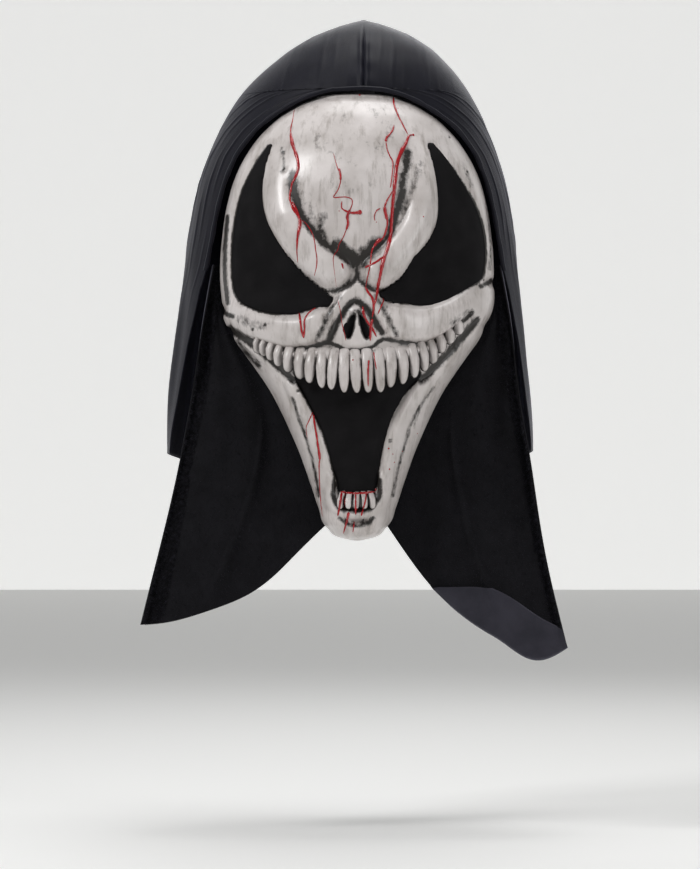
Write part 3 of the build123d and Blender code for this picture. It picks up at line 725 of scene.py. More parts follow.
# Points down each run, with its width at the start and at the end
RUNS = (
    ([(-46, 112), (-47, 104), (-48.5, 95), (-47, 88), (-45, 80), (-43, 73), (-42.5, 67), (-44, 61), (-47, 56),
      (-48, 51), (-49, 46), (-48, 41), (-46, 36), (-43, 32), (-41, 28), (-41, 24), (-42.5, 19), (-43.5, 12),
      (-43.5, 5), (-43, -2)], 1.1, 1.5),
    ([(-48.5, 95), (-47.5, 86), (-45, 79), (-43, 72), (-43, 65), (-46, 58)], 2.2, 2.0),
    ([(-47, 42), (-43, 33), (-41.5, 26), (-43, 16), (-43.5, 6)], 2.3, 1.4),
    ([(-41, 29), (-37, 26), (-33, 20), (-31, 14), (-30, 7), (-29, 0), (-29.5, -6), (-31, -12)], 0.6, 0.7),
    ([(-17, 77), (-16, 73), (-14, 66), (-12, 62), (-12, 56), (-14, 50), (-17, 45), (-12, 45), (-8, 45),
      (-4, 43.5), (-3.5, 40), (-5, 36), (-7, 32), (-7, 28), (-6, 25), (-8, 21), (-10, 16), (-13, 11),
      (-14, 7),
      (-17, 2), (-17, -4), (-16, -12), (-15, -20)], 0.8, 0.45),
    ([(-13, 66), (-12, 61), (-12, 57)], 1.6, 1.2),
    ([(-5, 36), (-7, 31), (-6.5, 26), (-8, 21)], 2.0, 1.7),
    ([(-10, 36), (-6, 34), (-2, 33.5), (2, 34)], 1.3, 2.2),
    ([(-11, 42), (-11, 37), (-8, 35)], 0.8, 0.8),
    ([(-11, -3), (-10.5, -5), (-10, -7)], 1.6, 0.8),
    ([(27, 122), (27, 116), (29, 109), (31, 104), (34, 98), (37, 92)], 1.4, 1.1),
    ([(41.5, 91.5), (38, 91), (36, 86), (33, 80), (30, 73), (28.5, 66), (28, 58), (27, 50), (26, 42),
    (25.5, 34),
      (25, 26), (24.5, 18), (23.5, 12), (21.5, 6), (19.5, 0), (18, -6), (16.5, -13), (15, -20), (14, -27),
      (12, -35), (11, -42)], 2.2, 1.9),
    ([(36, 86), (31, 76), (28.5, 66), (27.5, 56), (26, 42)], 2.6, 2.2),
    ([(24.5, 18), (22.5, 9), (19, -1), (17, -10)], 2.6, 2.4),
    ([(27, 99), (26, 95), (24, 92), (21.5, 89), (21, 86)], 0.9, 1.7),
    ([(21, 86), (22, 80), (24, 75), (26, 70), (25, 58), (24, 52)], 0.8, 0.9),
    ([(26, 50), (23, 45), (21, 41), (20, 37), (21, 33), (22, 27), (21, 21), (19, 16), (16, 13), (12, 9),
      (10.5, 5), (10, 0), (9, -7), (7, -16), (6, -22)], 1.3, 1.0),
    ([(20, 38), (20.5, 34), (22, 28)], 2.6, 1.8),
    ([(17, 14.5), (15, 13), (12, 9)], 3.2, 1.4),
    ([(17, 37), (14, 35), (12.5, 31), (13, 28)], 0.9, 0.6),
    ([(19, 2), (14, -2), (8, -5), (6, -6)], 1.2, 1.5),
    ([(6, -20), (8, -24), (11, -28), (12, -34), (12, -40)], 1.6, 1.6),
    ([(18, -27), (19, -30), (17, -35), (15, -40)], 1.0, 0.8),
    ([(4, -34), (5, -40), (8, -46), (11, -50), (14, -56)], 1.7, 1.4),
    ([(11, -43), (10, -50), (9.5, -59)], 2.0, 1.4),
    ([(-42, -38), (-41, -45), (-40, -52), (-38.5, -57)], 1.4, 1.5),
    ([(-30, -35), (-35, -39), (-38, -44), (-38, -50), (-38.5, -57)], 1.2, 1.3),
    ([(-14, -29), (-12, -38), (-11, -46), (-9, -54), (-8, -59)], 0.5, 0.5),
    ([(12, -67), (13, -74), (14, -80)], 1.1, 0.6),
    ([(8.5, -73), (8, -80), (8, -92)], 1.6, 1.0),
    ([(-32, -110), (-31, -118), (-29, -130), (-27.5, -140), (-27, -144), (-27.5, -150), (-27, -165),
      (-26, -180), (-25, -187)], 1.6, 0.6),
    ([(-29, -131), (-27.5, -140), (-27, -145)], 1.6, 2.0),
    ([(-32, -110), (-35, -117), (-37, -122), (-36, -130)], 0.9, 0.4),
    ([(-12, -168.5), (-5, -169.5), (4, -169.5), (13, -168.5)], 1.5, 1.8),
    ([(13.5, -168), (14.5, -162), (15.5, -155)], 1.6, 0.7),
    ([(-11, -168), (-12, -175), (-13, -181), (-14, -186)], 1.5, 1.6),
    ([(-9, -168), (-8.5, -174), (-9, -180)], 1.0, 0.8),
    ([(-1, -169), (-1, -177), (-1, -185)], 1.0, 1.3),
    ([(7, -168), (6, -175), (4, -182), (3, -186)], 0.9, 1.3),
    ([(-6, -183), (-7.5, -190), (-10, -199)], 2.0, 0.8),
    ([(-2, -190), (-2.5, -194), (-3, -198)], 1.0, 0.6),
)
SPOTS = ((23, -137, 1.3), (26, -141, 0.9), (27, -147, 1.0), (23.5, -152, 1.4), (33, -139, 0.8),
         (44, -126, 0.9),
         (48, 31, 1.0), (2, 122, 1.6), (2, 34, 3.2), (41, 91.5, 1.8), (21, 87, 2.2), (-27, -144, 1.9),
         (-3, -73, 1.2), (30, 112, 0.8), (-13, 35, 0.9), (14, 27, 0.8), (-20, -96, 1.4))  # fmt: skip



def round_curve(name, radius, resolution):
    """A curve with a round section and closed ends."""
    made = bpy.data.curves.new(name, "CURVE")
    made.dimensions = "3D"
    made.bevel_depth = radius
    made.bevel_resolution = resolution
    made.use_fill_caps = True
    return made


def swept(curve):
    """The mesh of a curve."""
    maker = bpy.data.objects.new("maker", curve)
    bpy.context.collection.objects.link(maker)
    made = bpy.data.meshes.new_from_object(maker.evaluated_get(bpy.context.evaluated_depsgraph_get()))
    bpy.data.objects.remove(maker)
    return made


blood_line = round_curve("blood_line", millimetre, 2)
for points, start_width, end_width in RUNS:
    run = flowing(points, pieces=5)
    laid = [(on_shell(x, z), step / (len(run) - 1)) for step, (x, z) in enumerate(run)]
    laid = [(p, t) for p, t in laid if p is not None]
    spans = []
    for p, t in laid:
        if not spans or (p - spans[-1][-1][0]).length > longest_gap:
            spans.append([])
        spans[-1].append((p, t))
    for span in spans:
        if len(span) < 3:
            continue
        spline = blood_line.splines.new("POLY")
        spline.points.add(len(span) - 1)
        for point, (p, t) in zip(spline.points, span):
            width = start_width + (end_width - start_width) * t
            ends = min(1.0, 0.35 + 5 * t, 0.3 + 5 * (1 - t))
            point.co = (*p, 1)
            point.radius = bead_share * width * ends * random.uniform(0.85, 1.15)
blood = bmesh.new()
blood.from_mesh(swept(blood_line))
for x, z, width in SPOTS:
    place = on_shell(x, z)
    if place:
        spot = Matrix.Translation(place) @ Matrix.Diagonal((1, 0.5, random.uniform(0.9, 1.25), 1))
        bmesh.ops.create_uvsphere(
            blood, u_segments=12, v_segments=8, radius=0.5 * width * millimetre, matrix=spot
        )
bmesh.ops.remove_doubles(blood, verts=blood.verts[:], dist=1e-6)
blood_mesh = bpy.data.meshes.new("blood_runs")
blood.to_mesh(blood_mesh)
blood.free()
blood_red, tree, shader = new_material("blood_red")
place = object_place(tree)
clots = noise(tree, place, 400, 3)
red = ramp(tree, clots, [(0.35, (0.42, 0.001, 0.006)), (0.75, (0.22, 0.0, 0.004))])
tree.links.new(red, shader.inputs["Base Color"])
shader.inputs["Roughness"].default_value = 0.2
shader.inputs["Coat Weight"].default_value = 0.5
bumped(tree, shader, clots, 0.1, 0.0003)
blood_runs = finished(blood_mesh, "blood_runs", blood_red)
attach(blood_runs, "mask")

# ======================================================================== cloth behind the openings
# Thin black cloth glued inside the shell behind each eye, the nose and the mouth, so that the wearer
# sees out and nobody sees in. It is drawn tight, with a few soft creases.
def finish_cloth(bm, name, materials, thickness, offset=-1.0):
    """Makes a cloth piece of a single surface given in millimetres, and gives it its thickness."""
    piece = finished(mesh_of(bm, name), name, *materials)
    cloth = piece.modifiers.new("cloth", "SOLIDIFY")
    cloth.thickness = thickness * millimetre
    cloth.offset = offset
    if len(materials) > 1:
        cloth.material_offset = 1
    return piece


weave = bpy.data.node_groups.new("weave", "ShaderNodeTree")
weave.interface.new_socket("Threads", in_out="INPUT", socket_type="NodeSocketFloat").default_value = 900
weave.interface.new_socket("Height", in_out="OUTPUT", socket_type="NodeSocketFloat")
weave.interface.new_socket("Shade", in_out="OUTPUT", socket_type="NodeSocketFloat")
entry, leave = weave.nodes.new("NodeGroupInput"), weave.nodes.new("NodeGroupOutput")
place = object_place(weave)
spacing = {"Vector": place, "Scale": entry.outputs["Threads"]}
across = add_node(weave, "ShaderNodeTexWave", spacing, bands_direction="X")
along = add_node(weave, "ShaderNodeTexWave", spacing, bands_direction="Z")
threads = maths(weave, "MAXIMUM", across.outputs["Fac"], along.outputs["Fac"])
weave.links.new(threads, leave.inputs["Height"])
# lighter on the raised threads and darker between them: painted shade, added to a random tone
thread_shade = maths(weave, "MULTIPLY", threads, 0.3)
cloth_shade = maths(weave, "MULTIPLY_ADD", noise(weave, place, 60, 5), 0.6, thread_shade)
weave.links.new(cloth_shade, leave.inputs["Shade"])


def woven(name, dark, light, threads, roughness, sheen, sheen_tint, strength=0.25):
    """A woven cloth: two tones, threads to the metre, and its sheen."""
    made, tree, shader = new_material(name)
    cloth = tree.nodes.new("ShaderNodeGroup")
    cloth.node_tree = weave
    cloth.inputs["Threads"].default_value = threads
    shade = ramp(tree, cloth.outputs["Shade"], [(0.2, dark), (0.8, light)])
    tree.links.new(shade, shader.inputs["Base Color"])
    shader.inputs["Roughness"].default_value = roughness
    shader.inputs["Specular IOR Level"].default_value = 0.08
    shader.inputs["Sheen Weight"].default_value = sheen
    shader.inputs["Sheen Roughness"].default_value = 0.4
    shader.inputs["Sheen Tint"].default_value = (*sheen_tint, 1)
    bumped(tree, shader, cloth.outputs["Height"], strength, 0.0003)
    return made


screen_cloth = woven(
    "screen_cloth", (0.003, 0.003, 0.0033), (0.012, 0.011, 0.012), 1100, 0.75, 0.03, (0.5, 0.5, 0.55)
)


def screen(name, node, outline, margin, seed):
    """A patch of cloth behind an opening, wider than it by a margin."""
    low, high = outline.min(0) - margin, outline.max(0) + margin
    patch = bmesh.new()
    cells = 46
    bmesh.ops.create_grid(patch, x_segments=cells, y_segments=cells, size=1.0)
    coords = np.array([v.co[:] for v in patch.verts])
    x = low[0] + (coords[:, 0] + 1) / 2 * (high[0] - low[0])
    z = low[1] + (coords[:, 1] + 1) / 2 * (high[1] - low[1])
    gap, _, _ = distance_to(x, z, outline, closed=True)
    wanted = inside_of(x, z, outline) | (gap < margin)
    half, front, rim = (smooth_table(z, FACE_FORM, i) for i in (1, 2, 3))
    inset = shell_wall + 1.2
    share = np.clip(np.abs(x) / np.maximum(half - inset, 1), 0, 0.985)
    y = -(rim + (front - rim - inset) * np.sqrt(1 - share**2))
    slack = inside_of(x, z, outline) * step_up(gap, 0, 14)
    soft_crease = 1.1 * np.sin(0.17 * x + 0.11 * z + seed)
    fine_crease = 0.8 * np.sin(0.31 * z - 0.13 * x + 2 * seed)
    y += slack * (3.0 + soft_crease + fine_crease)
    for v, a, b, c in zip(patch.verts, x, y, z):
        v.co = (a, b, c)
    keep = dict(zip(patch.verts, wanted))
    spare = [f for f in patch.faces if not all(keep[v] for v in f.verts)]
    bmesh.ops.delete(patch, geom=spare, context="FACES")
    bmesh.ops.smooth_vert(
        patch, verts=patch.verts[:], factor=0.5, use_axis_x=True, use_axis_y=True, use_axis_z=True
    )
    piece = finish_cloth(patch, name, [screen_cloth], 0.5, 1.0)
    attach(piece, "mask")
    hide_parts(node)


NOSE = flowing([(-12, -62), (-10, -48), (-5, -37), (0, -34), (6, -37), (11, -48), (13, -62),
                (0, -66)], True, 4)
screen("eye_cloth_left", "eye_screen_left", EYE_LEFT, 4.5, 0.0)
screen("eye_cloth_right", "eye_screen_right", EYE_RIGHT, 4.5, 1.7)
screen("nose_cloth", "nose_screen", NOSE, 3.0, 2.6)
screen("mouth_cloth", "mouth_screen", MOUTH, 4.5, 3.1)

# ======================================================================== hood
# Two mirrored panels of black stretch jersey, sewn together over the head along one seam, and glued to
# the mask's rim in front. The cloth is drawn tight over the forehead and falls in long folds at the sides.
HOOD_FORM = np.array([
    (-200, 131, 118, 124), (-140, 136.5, 112, 116), (-100, 135, 91, 109), (-59, 131, 82, 110),
    (-17, 126.5, 78, 114),
    (23, 122.5, 82.5, 117), (65, 114.5, 80, 115), (95, 103.5, 76, 109), (117.5, 93, 69.5, 102),
    (134, 82, 63, 93), (151.5, 65.5, 52, 79.5), (166, 47, 37.5, 61), (176, 27, 22, 40), (181, 12, 10, 27),
    (183.5, 2, 2, 19),
])  # fmt: skip
EDGE_HEIGHTS = [-205, -150, -100, -60, -20, 0, 20, 60, 80, 99, 112, 122, 127.2]
EDGE_FORWARD = [14, 15, 18, 18, 22, 29, 33.5, 36.2, 39, 46.8, 55.3, 61.2, 65.3]
hood_seam = 5.0
hem_height = -140.0
edge_top = 127.2


def hood_place(side, angle, z, proud=0.0):
    """A place on the hood's form, at an angle round from straight ahead, this far outside it."""
    half, ahead, back = (smooth_table(z, HOOD_FORM, i) for i in (1, 2, 3))
    drift = hood_seam * step_up(z, 120, 184)
    away = step_up(angle, 0.75, 1.5) * (3.5 + 1.5 * step_up(-z, 40, 130)) * step_up(-z, -165, -60)
    x = side * (half + proud) * np.sin(angle) + drift - away
    return x, (back - ahead) / 2 - ((back + ahead) / 2 + proud) * np.cos(angle)


def edge_angle(side, z):
    """Where the hood begins at a height: at its front edge, or over the forehead at the seam."""
    half, ahead, back = (smooth_table(z, HOOD_FORM, i) for i in (1, 2, 3))
    drift = hood_seam * step_up(z, 120, 184)
    seam = np.arcsin(np.clip(side * (hood_seam - drift) / np.maximum(half, 1), -1, 1))
    cosine = (np.interp(z, EDGE_HEIGHTS, EDGE_FORWARD) + (back - ahead) / 2) / ((back + ahead) / 2)
    opened = np.arccos(np.clip(cosine, -1, 1))
    return np.where(z < edge_top, np.maximum(opened, seam), seam), seam


def hood_panel(name, node, side, phase):
    """One half of the hood, from its front edge to the seam at the back."""
    panel = bmesh.new()
    bmesh.ops.create_grid(panel, x_segments=124, y_segments=170, size=1.0)
    spot = np.array([v.co[:] for v in panel.verts])
    across, up = (spot[:, 0] + 1) / 2, (spot[:, 1] + 1) / 2
    z = np.interp(up, [0, 0.42, 0.58, 0.66, 0.84, 0.88, 1], [hem_height, 20, 92, 110, edge_top, 133, 183.5])
    start, seam = edge_angle(side, z)
    end = math.pi - seam
    around = across**1.35
    angle = start + around * (end - start)
    half = smooth_table(z, HOOD_FORM, 1)
    run = (angle - start) * half
    # long folds down the sides, fine drawn lines along the front edge, and the seam drawn up in a ridge
    low = step_up(-z, -70, 110)
    fold = 2.4 * np.sin(9.5 * angle + phase + 0.010 * z) + 1.3 * np.sin(21 * angle + 2 * phase - 0.014 * z)
    proud = low * fold * step_up(run, 4, 40) * step_up(end - angle, 0.0, 0.25)
    drawn = np.maximum(0, np.sin(run * 0.62 + 1.3 * np.sin(0.045 * z + phase))) ** 3
    drawn *= 0.5 + 0.5 * np.sin(0.05 * z + 0.21 * run + phase)
    proud += 0.75 * drawn * step_up(run, 2, 9) * (1 - step_up(run, 55, 95)) * step_up(z, -60, 40)
    to_seam = np.minimum(np.where(z > edge_top, (angle - seam) * half, 99), (end - angle) * half)
    crowned = 1 - step_up(z, 160, 182)
    proud += crowned * (1.4 * np.exp(-(((to_seam - 2.2) / 1.6) ** 2)) - 1.0 * np.exp(-((to_seam / 0.9) ** 2)))
    proud += 0.5 * crowned * np.sin(z * 0.42 + phase) * np.exp(-((to_seam / 7) ** 2))
    x, y = hood_place(side, angle, z, np.clip(proud, -3.0, 4.5))
    hang = 27 * step_up(y, -10, 118) + 2.0 * np.sin(6 * angle + phase)
    z = z - hang * (1 - step_up(z, hem_height, -60))
    for vert, *place in zip(panel.verts, x, y, z):
        vert.co = place
    bmesh.ops.remove_doubles(panel, verts=panel.verts[:], dist=0.02)
    # outwards is away from the head
    panel.normal_update()
    if sum(f.normal.x * f.calc_area() for f in panel.faces) * side < 0:
        bmesh.ops.reverse_faces(panel, faces=panel.faces[:])
    piece = finish_cloth(panel, name, [hood_jersey], 1.1)
    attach(piece, "mask")
    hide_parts(node)
    return piece


hood_jersey, tree, shader = new_material("hood_jersey")
knit = tree.nodes.new("ShaderNodeGroup")
knit.node_tree = weave
knit.inputs["Threads"].default_value = 1300
tone = ramp(tree, knit.outputs["Shade"], [(0.2, (0.005, 0.005, 0.008)), (0.8, (0.012, 0.012, 0.019))])
tree.links.new(tone, shader.inputs["Base Color"])
shader.inputs["Roughness"].default_value = 0.42
shader.inputs["Specular IOR Level"].default_value = 0.14
shader.inputs["Sheen Weight"].default_value = 0.09
shader.inputs["Sheen Roughness"].default_value = 0.35
shader.inputs["Sheen Tint"].default_value = (0.55, 0.57, 0.85, 1)
place = object_place(tree)
creases = noise(tree, place, 55, 4, 0.6, stretch=(1.0, 1.0, 0.14))
relief_height = maths(tree, "MULTIPLY_ADD", creases, 2.0, knit.outputs["Height"])
bumped(tree, shader, relief_height, 0.16, 0.0005)

hood_left = hood_panel("hood_left_jersey", "hood_left", -1, 0.4)
hood_right = hood_panel("hood_right_jersey", "hood_right", 1, 2.3)

# ======================================================================== rolled edge of the hood
# The jersey's front edge is rolled twice and stitched, a soft black cord of cloth that hugs the top of
# the mask from temple to temple.
roll_radius = 1.7
roll_ahead = 2.3
roll_end = -5.0
heights = np.concatenate([np.linspace(roll_end, 105, 46), np.linspace(106.5, edge_top, 26)])
sides = []
for side in (-1, 1):
    start, _ = edge_angle(side, heights)
    x, y = hood_place(side, start, heights)
    line = [Vector((a, b - roll_ahead, c)) * millimetre for a, b, c in zip(x, y, heights)]
    sides.append(line)
edge_run = round_curve("edge_run", roll_radius * millimetre, 3)
spline = edge_run.splines.new("POLY")
whole = sides[0] + sides[1][::-1]
spline.points.add(len(whole) - 1)
for step, (point, place) in enumerate(zip(spline.points, whole)):
    point.co = (*place, 1)
    point.radius = 1.0 + 0.10 * math.sin(step * 0.7) + random.uniform(-0.05, 0.05)
edge_mesh = swept(edge_run)
edge_mesh.name = "hood_rolled_edge"
rolled_edge = finished(edge_mesh, "hood_rolled_edge", hood_jersey)
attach(rolled_edge, "mask")
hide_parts("hood_edge_binding")

# ======================================================================== front drapes
# Two black panels of short pile, glued inside the mask's rim, that hang over the chest in points. Their
# outer hems are folded and show the pile edge on; the right one's lower corner is turned up, so that
# the grey woven back of the cloth shows.
DRAPE_LEFT = [(-2, (-106.5, 27, -1)), (-45, (-114.5, 26, -45)), (-92, (-122.5, 26, -95)),
              (-135, (-132, 28, -145)),
              (-170, (-145, 48, -205)), (-193, (-159, 68, -265))]  # fmt: skip
DRAPE_RIGHT = [(-2, (106.5, 27, -1)), (-45, (114.5, 26, -45)), (-92, (120.5, 26, -95)),
               (-135, (129, 28, -145)),
               (-170, (139, 50, -212)), (-193, (155, 70, -280))]  # fmt: skip
drape_belly = 9.0
behind_rim = 5.0


def drape_place(rows, side, sag, share, level):
    """A place on a drape's plain form: share from the rim to the outer hem, level from top to bottom."""
    rows = np.array([(inner, *outer) for inner, outer in rows], float)
    at = np.linspace(0, 1, len(rows))
    table = np.column_stack([at, rows])
    inner_z, outer_x, ahead, outer_z = (smooth_table(level, table, i) for i in (1, 2, 3, 4))
    half, rim = smooth_table(inner_z, FACE_FORM, 1), smooth_table(inner_z, FACE_FORM, 3)
    inner_x, inner_y = side * (half - 1.5), -rim + behind_rim
    bow = np.sin(np.pi * share) * level
    x = inner_x + share * (outer_x - inner_x)
    y = inner_y + share * (-ahead - inner_y) - drape_belly * bow
    return np.stack([x, y, inner_z + share * (outer_z - inner_z) - sag * bow * level**2], -1)


def pile_on(piece, name, count, length, chosen, material):
    """Short fibres standing out of a cloth's front: closed three-sided hairs, one beside the other."""
    fibre = bmesh.new()
    bmesh.ops.create_cone(fibre, segments=3, radius1=1, radius2=0, depth=1, cap_ends=True)
    bmesh.ops.translate(fibre, verts=fibre.verts[:], vec=(0, 0, 0.5))
    mesh = bpy.data.meshes.new(name)
    fibre.to_mesh(mesh)
    fibre.free()
    base = np.array([v.co[:] for v in mesh.vertices])
    doublings = math.ceil(math.log2(count))
    for _ in range(doublings):
        more = bmesh.new()
        more.from_mesh(mesh)
        more.from_mesh(mesh)
        more.to_mesh(mesh)
        more.free()
    count = 2**doublings
    source = piece.data
    faces = [p for p in source.polygons if chosen(p)]
    areas = np.array([p.area * chosen(p) for p in faces])
    picks = np.random.default_rng(11).choice(len(faces), count, p=areas / areas.sum())
    draw = np.random.default_rng(12).random((count, 6))
    roots = np.empty((count, 3))
    normals = np.empty((count, 3))
    for index, pick in enumerate(picks):
        face = faces[pick]
        a, b, c, d = (source.vertices[face.vertices[i % len(face.vertices)]].co for i in range(4))
        u, v = draw[index, :2]
        roots[index] = a.lerp(b, u).lerp(d.lerp(c, u), v)
        normals[index] = face.normal
    lean = normals + 0.9 * (draw[:, 2:5] - 0.5) + np.array([0, 0, -0.5])
    lean /= np.linalg.norm(lean, axis=1)[:, None]
    side_way = np.cross(lean, [0.31, 0.2, 0.93])
    side_way /= np.linalg.norm(side_way, axis=1)[:, None]
    other = np.cross(lean, side_way)
    tall = length * (0.55 + 0.9 * draw[:, 5])[:, None, None]
    thick = 0.13 * millimetre
    hairs = roots[:, None] + base[None, :, 0, None] * thick * side_way[:, None]
    hairs += base[None, :, 1, None] * thick * other[:, None] + base[None, :, 2, None] * tall * lean[:, None]
    mesh.vertices.foreach_set("co", hairs.reshape(-1).astype(np.float32))
    mesh.update()
    mesh.materials.append(material)
    hair = bpy.data.objects.new(name, mesh)
    bpy.context.collection.objects.link(hair)
    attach(hair, "mask")
    return hair


drape_velour = woven(
    "drape_velour", (0.004, 0.004, 0.0045), (0.013, 0.0125, 0.015), 700, 0.9, 0.10, (0.45, 0.45, 0.55), 0.4
)
drape_back = woven(
    "drape_back", (0.016, 0.016, 0.021), (0.050, 0.048, 0.062), 620, 0.85, 0.25, (0.6, 0.6, 0.75), 0.5
)
pile_fibre, tree, shader = new_material("pile_fibre")
place = object_place(tree)
pile_tones = [(0.42, (0.004, 0.004, 0.005)), (0.75, (0.045, 0.043, 0.058))]
tree.links.new(ramp(tree, noise(tree, place, 420, 2), pile_tones), shader.inputs["Base Color"])
shader.inputs["Roughness"].default_value = 0.6
shader.inputs["Specular IOR Level"].default_value = 0.15


def drape(name, node, rows, side, sag, phase, turned):
    """One drape, with its folds, its folded outer hem and its turned-up corner."""
    panel = bmesh.new()
    bmesh.ops.create_grid(panel, x_segments=96, y_segments=150, size=1.0)
    spot = np.array([v.co[:] for v in panel.verts])
    share, level = (spot[:, 0] + 1) / 2, (1 - spot[:, 1]) / 2
    # past the fold the cloth turns back up over its own front
    depth = turned * np.sin(np.pi * np.clip((share - 0.26) / 0.80, 0, 1)) ** 0.8
    fold_row = 130 / 150 if turned else 1.0
    past = np.clip((level - fold_row) / (1 - fold_row + 1e-9), 0, 1) * depth
    drop = np.where(level > fold_row, 1 - past, np.minimum(level / fold_row, 1))
    place = drape_place(rows, side, sag, share, drop)
    fade = step_up(share, 0.03, 0.3) * step_up(level, 0.02, 0.35)
    slant = share * 1.15 - drop * 0.9
    wave = 2.6 * np.sin(6.0 * slant + phase) + 1.6 * np.sin(13 * slant + 2.2 * phase + 2 * drop)
    wave += 0.9 * np.sin(27 * share + 5 * drop + phase) * step_up(share, 0.5, 0.95)
    place[:, 1] -= fade * wave
    # a sharp crease that runs down and out across the lower half
    crease = np.abs(share - (0.20 + 0.85 * (drop - 0.45)))
    crease_run = step_up(drop, 0.45, 0.6) * (1 - step_up(drop, 0.86, 0.97))
    place[:, 1] -= 3.2 * np.exp(-((crease / 0.028) ** 2)) * crease_run
    # the lower hem is a little uneven
    place[:, 2] += 1.2 * np.sin(11 * share + phase) * step_up(drop, 0.85, 1.0)
    if turned:
        lift = np.sqrt(np.clip(past / 0.02, 0, 1)) * 3.4 + 26 * past
        place[:, 1] -= lift
        place[:, 2] -= 9.0 * bump(np.abs(share - 0.84), 0.26) * step_up(drop, 0.75, 1.0)
    # the outer hem turns forward in a soft roll
    hem = step_up(share, 0.955, 1.0)
    place[:, 1] -= 4.2 * hem**1.5
    place[:, 0] += side * -1.2 * hem**2
    for vert, spot_now in zip(panel.verts, place):
        vert.co = spot_now
    panel.normal_update()
    front = [f for f in panel.faces if f.calc_center_median().z > -120]
    if sum(f.normal.y for f in front) > 0:
        bmesh.ops.reverse_faces(panel, faces=panel.faces[:])
    piece = finish_cloth(panel, name, [drape_velour, drape_back], 1.2)
    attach(piece, "mask")
    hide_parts(node)
    return piece


drape_left = drape("drape_left_velour", "drape_left", DRAPE_LEFT, -1, 20.0, 0.7, 0.0)
drape_right = drape("drape_right_velour", "drape_right", DRAPE_RIGHT, 1, 31.0, 2.4, 0.11)
PILE_DROP = [0, 100, 150, 210, 280]
PILE_REACH = [106, 121, 131, 140, 155]
pile_count = 16000
pile_length = 2.1
hem_band = 9.0


def near_hem(face):
    """How much pile a face carries: a thin cover everywhere and a thick one along the outer hem."""
    if face.normal.y > -0.15:
        return 0.0
    edge = np.interp(-face.center.z / millimetre, PILE_DROP, PILE_REACH)
    reach = abs(face.center.x) / millimetre - edge
    return 1.0 + (9.0 if reach > -hem_band else 0.0)


for piece, flat in ((drape_left, (0.115, 0.30)), (drape_right, (0.115, 0.325))):
    pile_name = piece.name.replace("velour", "pile")
    pile = pile_on(piece, pile_name, pile_count, pile_length * millimetre, near_hem, pile_fibre)

# ======================================================================== tapes and label inside
# Black cotton tape covers the glued joint round the rim and the seam inside the hood, and a plain white
# satin care label is sewn in beside the seam at the nape.
tape_cotton = woven(
    "tape_cotton", (0.008, 0.008, 0.009), (0.022, 0.021, 0.024), 1400, 0.8, 0.15, (0.6, 0.6, 0.65), 0.5
)
label_satin = woven("label_satin", (0.62, 0.62, 0.60), (0.74, 0.74, 0.72), 2600, 0.4, 0.2, (1, 1, 1), 0.15)
rim_land = 3.0


def strip(name, node, centre_line, across, thickness, material):
    """A flat tape along a line of (place, direction across it) pairs, in millimetres."""
    tape = bmesh.new()
    cells = len(centre_line) - 1
    bmesh.ops.create_grid(tape, x_segments=cells, y_segments=4, size=1.0)
    for vert in tape.verts:
        place, way = centre_line[round((vert.co.x + 1) / 2 * cells)]
        vert.co = Vector(place) + Vector(way) * across * vert.co.y / 2
    piece = finish_cloth(tape, name, [material], thickness, 0.0)
    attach(piece, "mask")
    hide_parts(node)


rim_run = []
levels = np.concatenate([np.linspace(-201, -190, 8), np.linspace(-184, 112, 84), np.linspace(114, 124, 12)])
for side, run in ((-1, levels), (1, levels[::-1])):
    half, rim = smooth_table(run, FACE_FORM, 1), smooth_table(run, FACE_FORM, 3)
    for across_now, back, z in zip(half, rim, run):
        rim_run.append(((side * (across_now - shell_wall - 0.7), -back + rim_land + 0.5, z), (0, 1, 0)))
strip("rim_tape_cotton", "rim_tape", rim_run, 13.0, 0.5, tape_cotton)

seam_run = []
tape_inset = 1.9
for front, heights in ((1, np.linspace(123.5, 180, 30)), (-1, np.linspace(180, -160, 90))):
    ahead, back = (smooth_table(heights, HOOD_FORM, i) for i in (2, 3))
    for z, forward, behind in zip(heights, ahead, back):
        y = -(forward - tape_inset) if front == 1 else behind - tape_inset - 2.4 * step_up(-z, 80, 130)
        seam_run.append(((hood_seam, y, z - (tape_inset if z > 170 else 0)), (1, 0, 0)))
strip(
    "crown_seam_tape_cotton", "crown_seam_tape", seam_run, 16.0, 0.5, tape_cotton
)

label_x = -28.5
label_inset = 3.4
label_run = []
for z in np.linspace(-126.5, -165.5, 24):
    behind = smooth_table(z, HOOD_FORM, 3)
    curl = 1.2 * ((z + 126) / 40) ** 2
    label_run.append(((label_x, behind * 0.975 - label_inset - curl, z), (1, 0.2, 0)))
strip(
    "care_label_satin", "care_label", label_run, 25.0, 0.35, label_satin
)

# ======================================================================== forehead pad
# A block of open-celled grey foam, rounded at its edges and glued behind the forehead, that keeps the
# shell off the wearer's brow.
pad_wide, pad_tall, pad_thick, pad_height = 84.0, 34.0, 8.0, 84.0
foam = bmesh.new()
bmesh.ops.create_cube(foam, size=2.0)
bmesh.ops.subdivide_edges(foam, edges=foam.edges[:], cuts=21, use_grid_fill=True)
for vert in foam.verts:
    a, b, c = vert.co
    round_off = (1 - 0.5 * abs(a) ** 9) * (1 - 0.5 * abs(c) ** 7)
    x, z = a * pad_wide / 2 * (1 - 0.03 * b * b), pad_height + c * pad_tall / 2 * (1 - 0.06 * b * b)
    half, ahead, rim = (float(smooth_table(np.array([z]), FACE_FORM, i)[0]) for i in (1, 2, 3))
    front = rim + (ahead - rim) * math.sqrt(max(0.0, 1 - (x / half) ** 2)) - shell_wall - 1.2
    crown = 0.6 * math.sin(a * 7) * math.cos(c * 4) if b > 0.9 else 0
    inward = (b + 1) / 2 * pad_thick * round_off + crown * 0.5
    vert.co = (x, -front + inward, z)
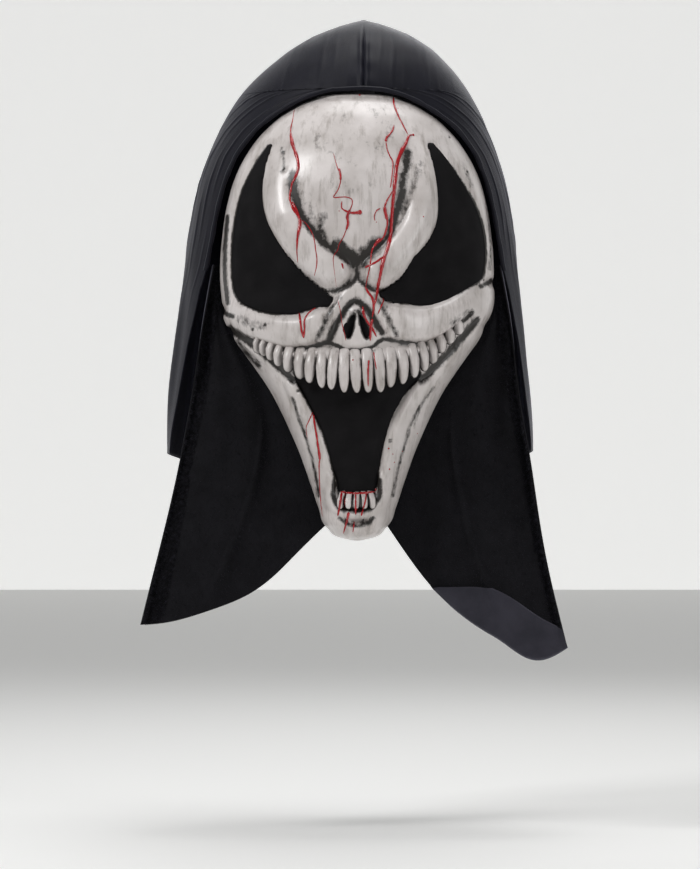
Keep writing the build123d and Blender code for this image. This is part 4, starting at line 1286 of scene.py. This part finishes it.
bmesh.ops.smooth_vert(
    foam, verts=foam.verts[:], factor=0.4, use_axis_x=True, use_axis_y=True, use_axis_z=True
)
bmesh.ops.recalc_face_normals(foam, faces=foam.faces[:])
foam_grey, tree, shader = new_material("foam_grey")
place = object_place(tree)
cells = add_node(tree, "ShaderNodeTexVoronoi", {"Vector": place, "Scale": 900.0}).outputs["Distance"]
# darker in the pores and lighter on the cell walls: painted shade
grey = ramp(tree, cells, [(0.1, (0.02, 0.02, 0.022)), (0.5, (0.085, 0.085, 0.09))])
tree.links.new(grey, shader.inputs["Base Color"])
shader.inputs["Roughness"].default_value = 0.95
bumped(tree, shader, cells, 0.6, 0.0006)
brow_pad = finished(mesh_of(foam, "brow_pad_foam"), "brow_pad_foam", foam_grey)
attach(brow_pad, "mask")
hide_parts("brow_pad")

# ======================================================================== strap, anchors and caps
# A ribbed black elastic goes round the back of the head. Its two ends turn on moulded nylon posts
# bonded inside the temples, and snap-on caps keep them there.
strap_elastic, tree, shader = new_material("strap_elastic")
place = object_place(tree)
ribs = add_node(tree, "ShaderNodeTexWave", {"Vector": place, "Scale": 160.0}, bands_direction="Z")
picks = add_node(tree, "ShaderNodeTexWave", {"Vector": place, "Scale": 420.0}, bands_direction="Y")
woven_height = maths(tree, "MULTIPLY_ADD", picks.outputs["Fac"], 0.35, ribs.outputs["Fac"])
# lighter on the ribs and darker in the grooves between them: painted shade
tree.links.new(ramp(tree, woven_height, [(0.2, 0.008), (1.0, 0.030)]), shader.inputs["Base Color"])
shader.inputs["Roughness"].default_value = 0.7
shader.inputs["Sheen Weight"].default_value = 0.15
bumped(tree, shader, woven_height, 0.6, 0.0005)

nylon, tree, shader = new_material("moulded_nylon")
place = object_place(tree)
grain = noise(tree, place, 1500, 3)
black = ramp(tree, noise(tree, place, 90, 3), [(0.3, 0.010), (0.8, 0.022)])
tree.links.new(black, shader.inputs["Base Color"])
tree.links.new(ramp(tree, grain, [(0.3, 0.38), (0.7, 0.55)]), shader.inputs["Roughness"])
bumped(tree, shader, grain, 0.25, 0.0002)
FITTINGS = ("strap_anchor_left", "strap_anchor_right", "strap_cap_left", "strap_cap_right")
for node, finish in [("elastic_strap", strap_elastic)] + [(fitting, nylon) for fitting in FITTINGS]:
    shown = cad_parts[node]
    shown.data.materials.clear()
    shown.data.materials.append(finish)
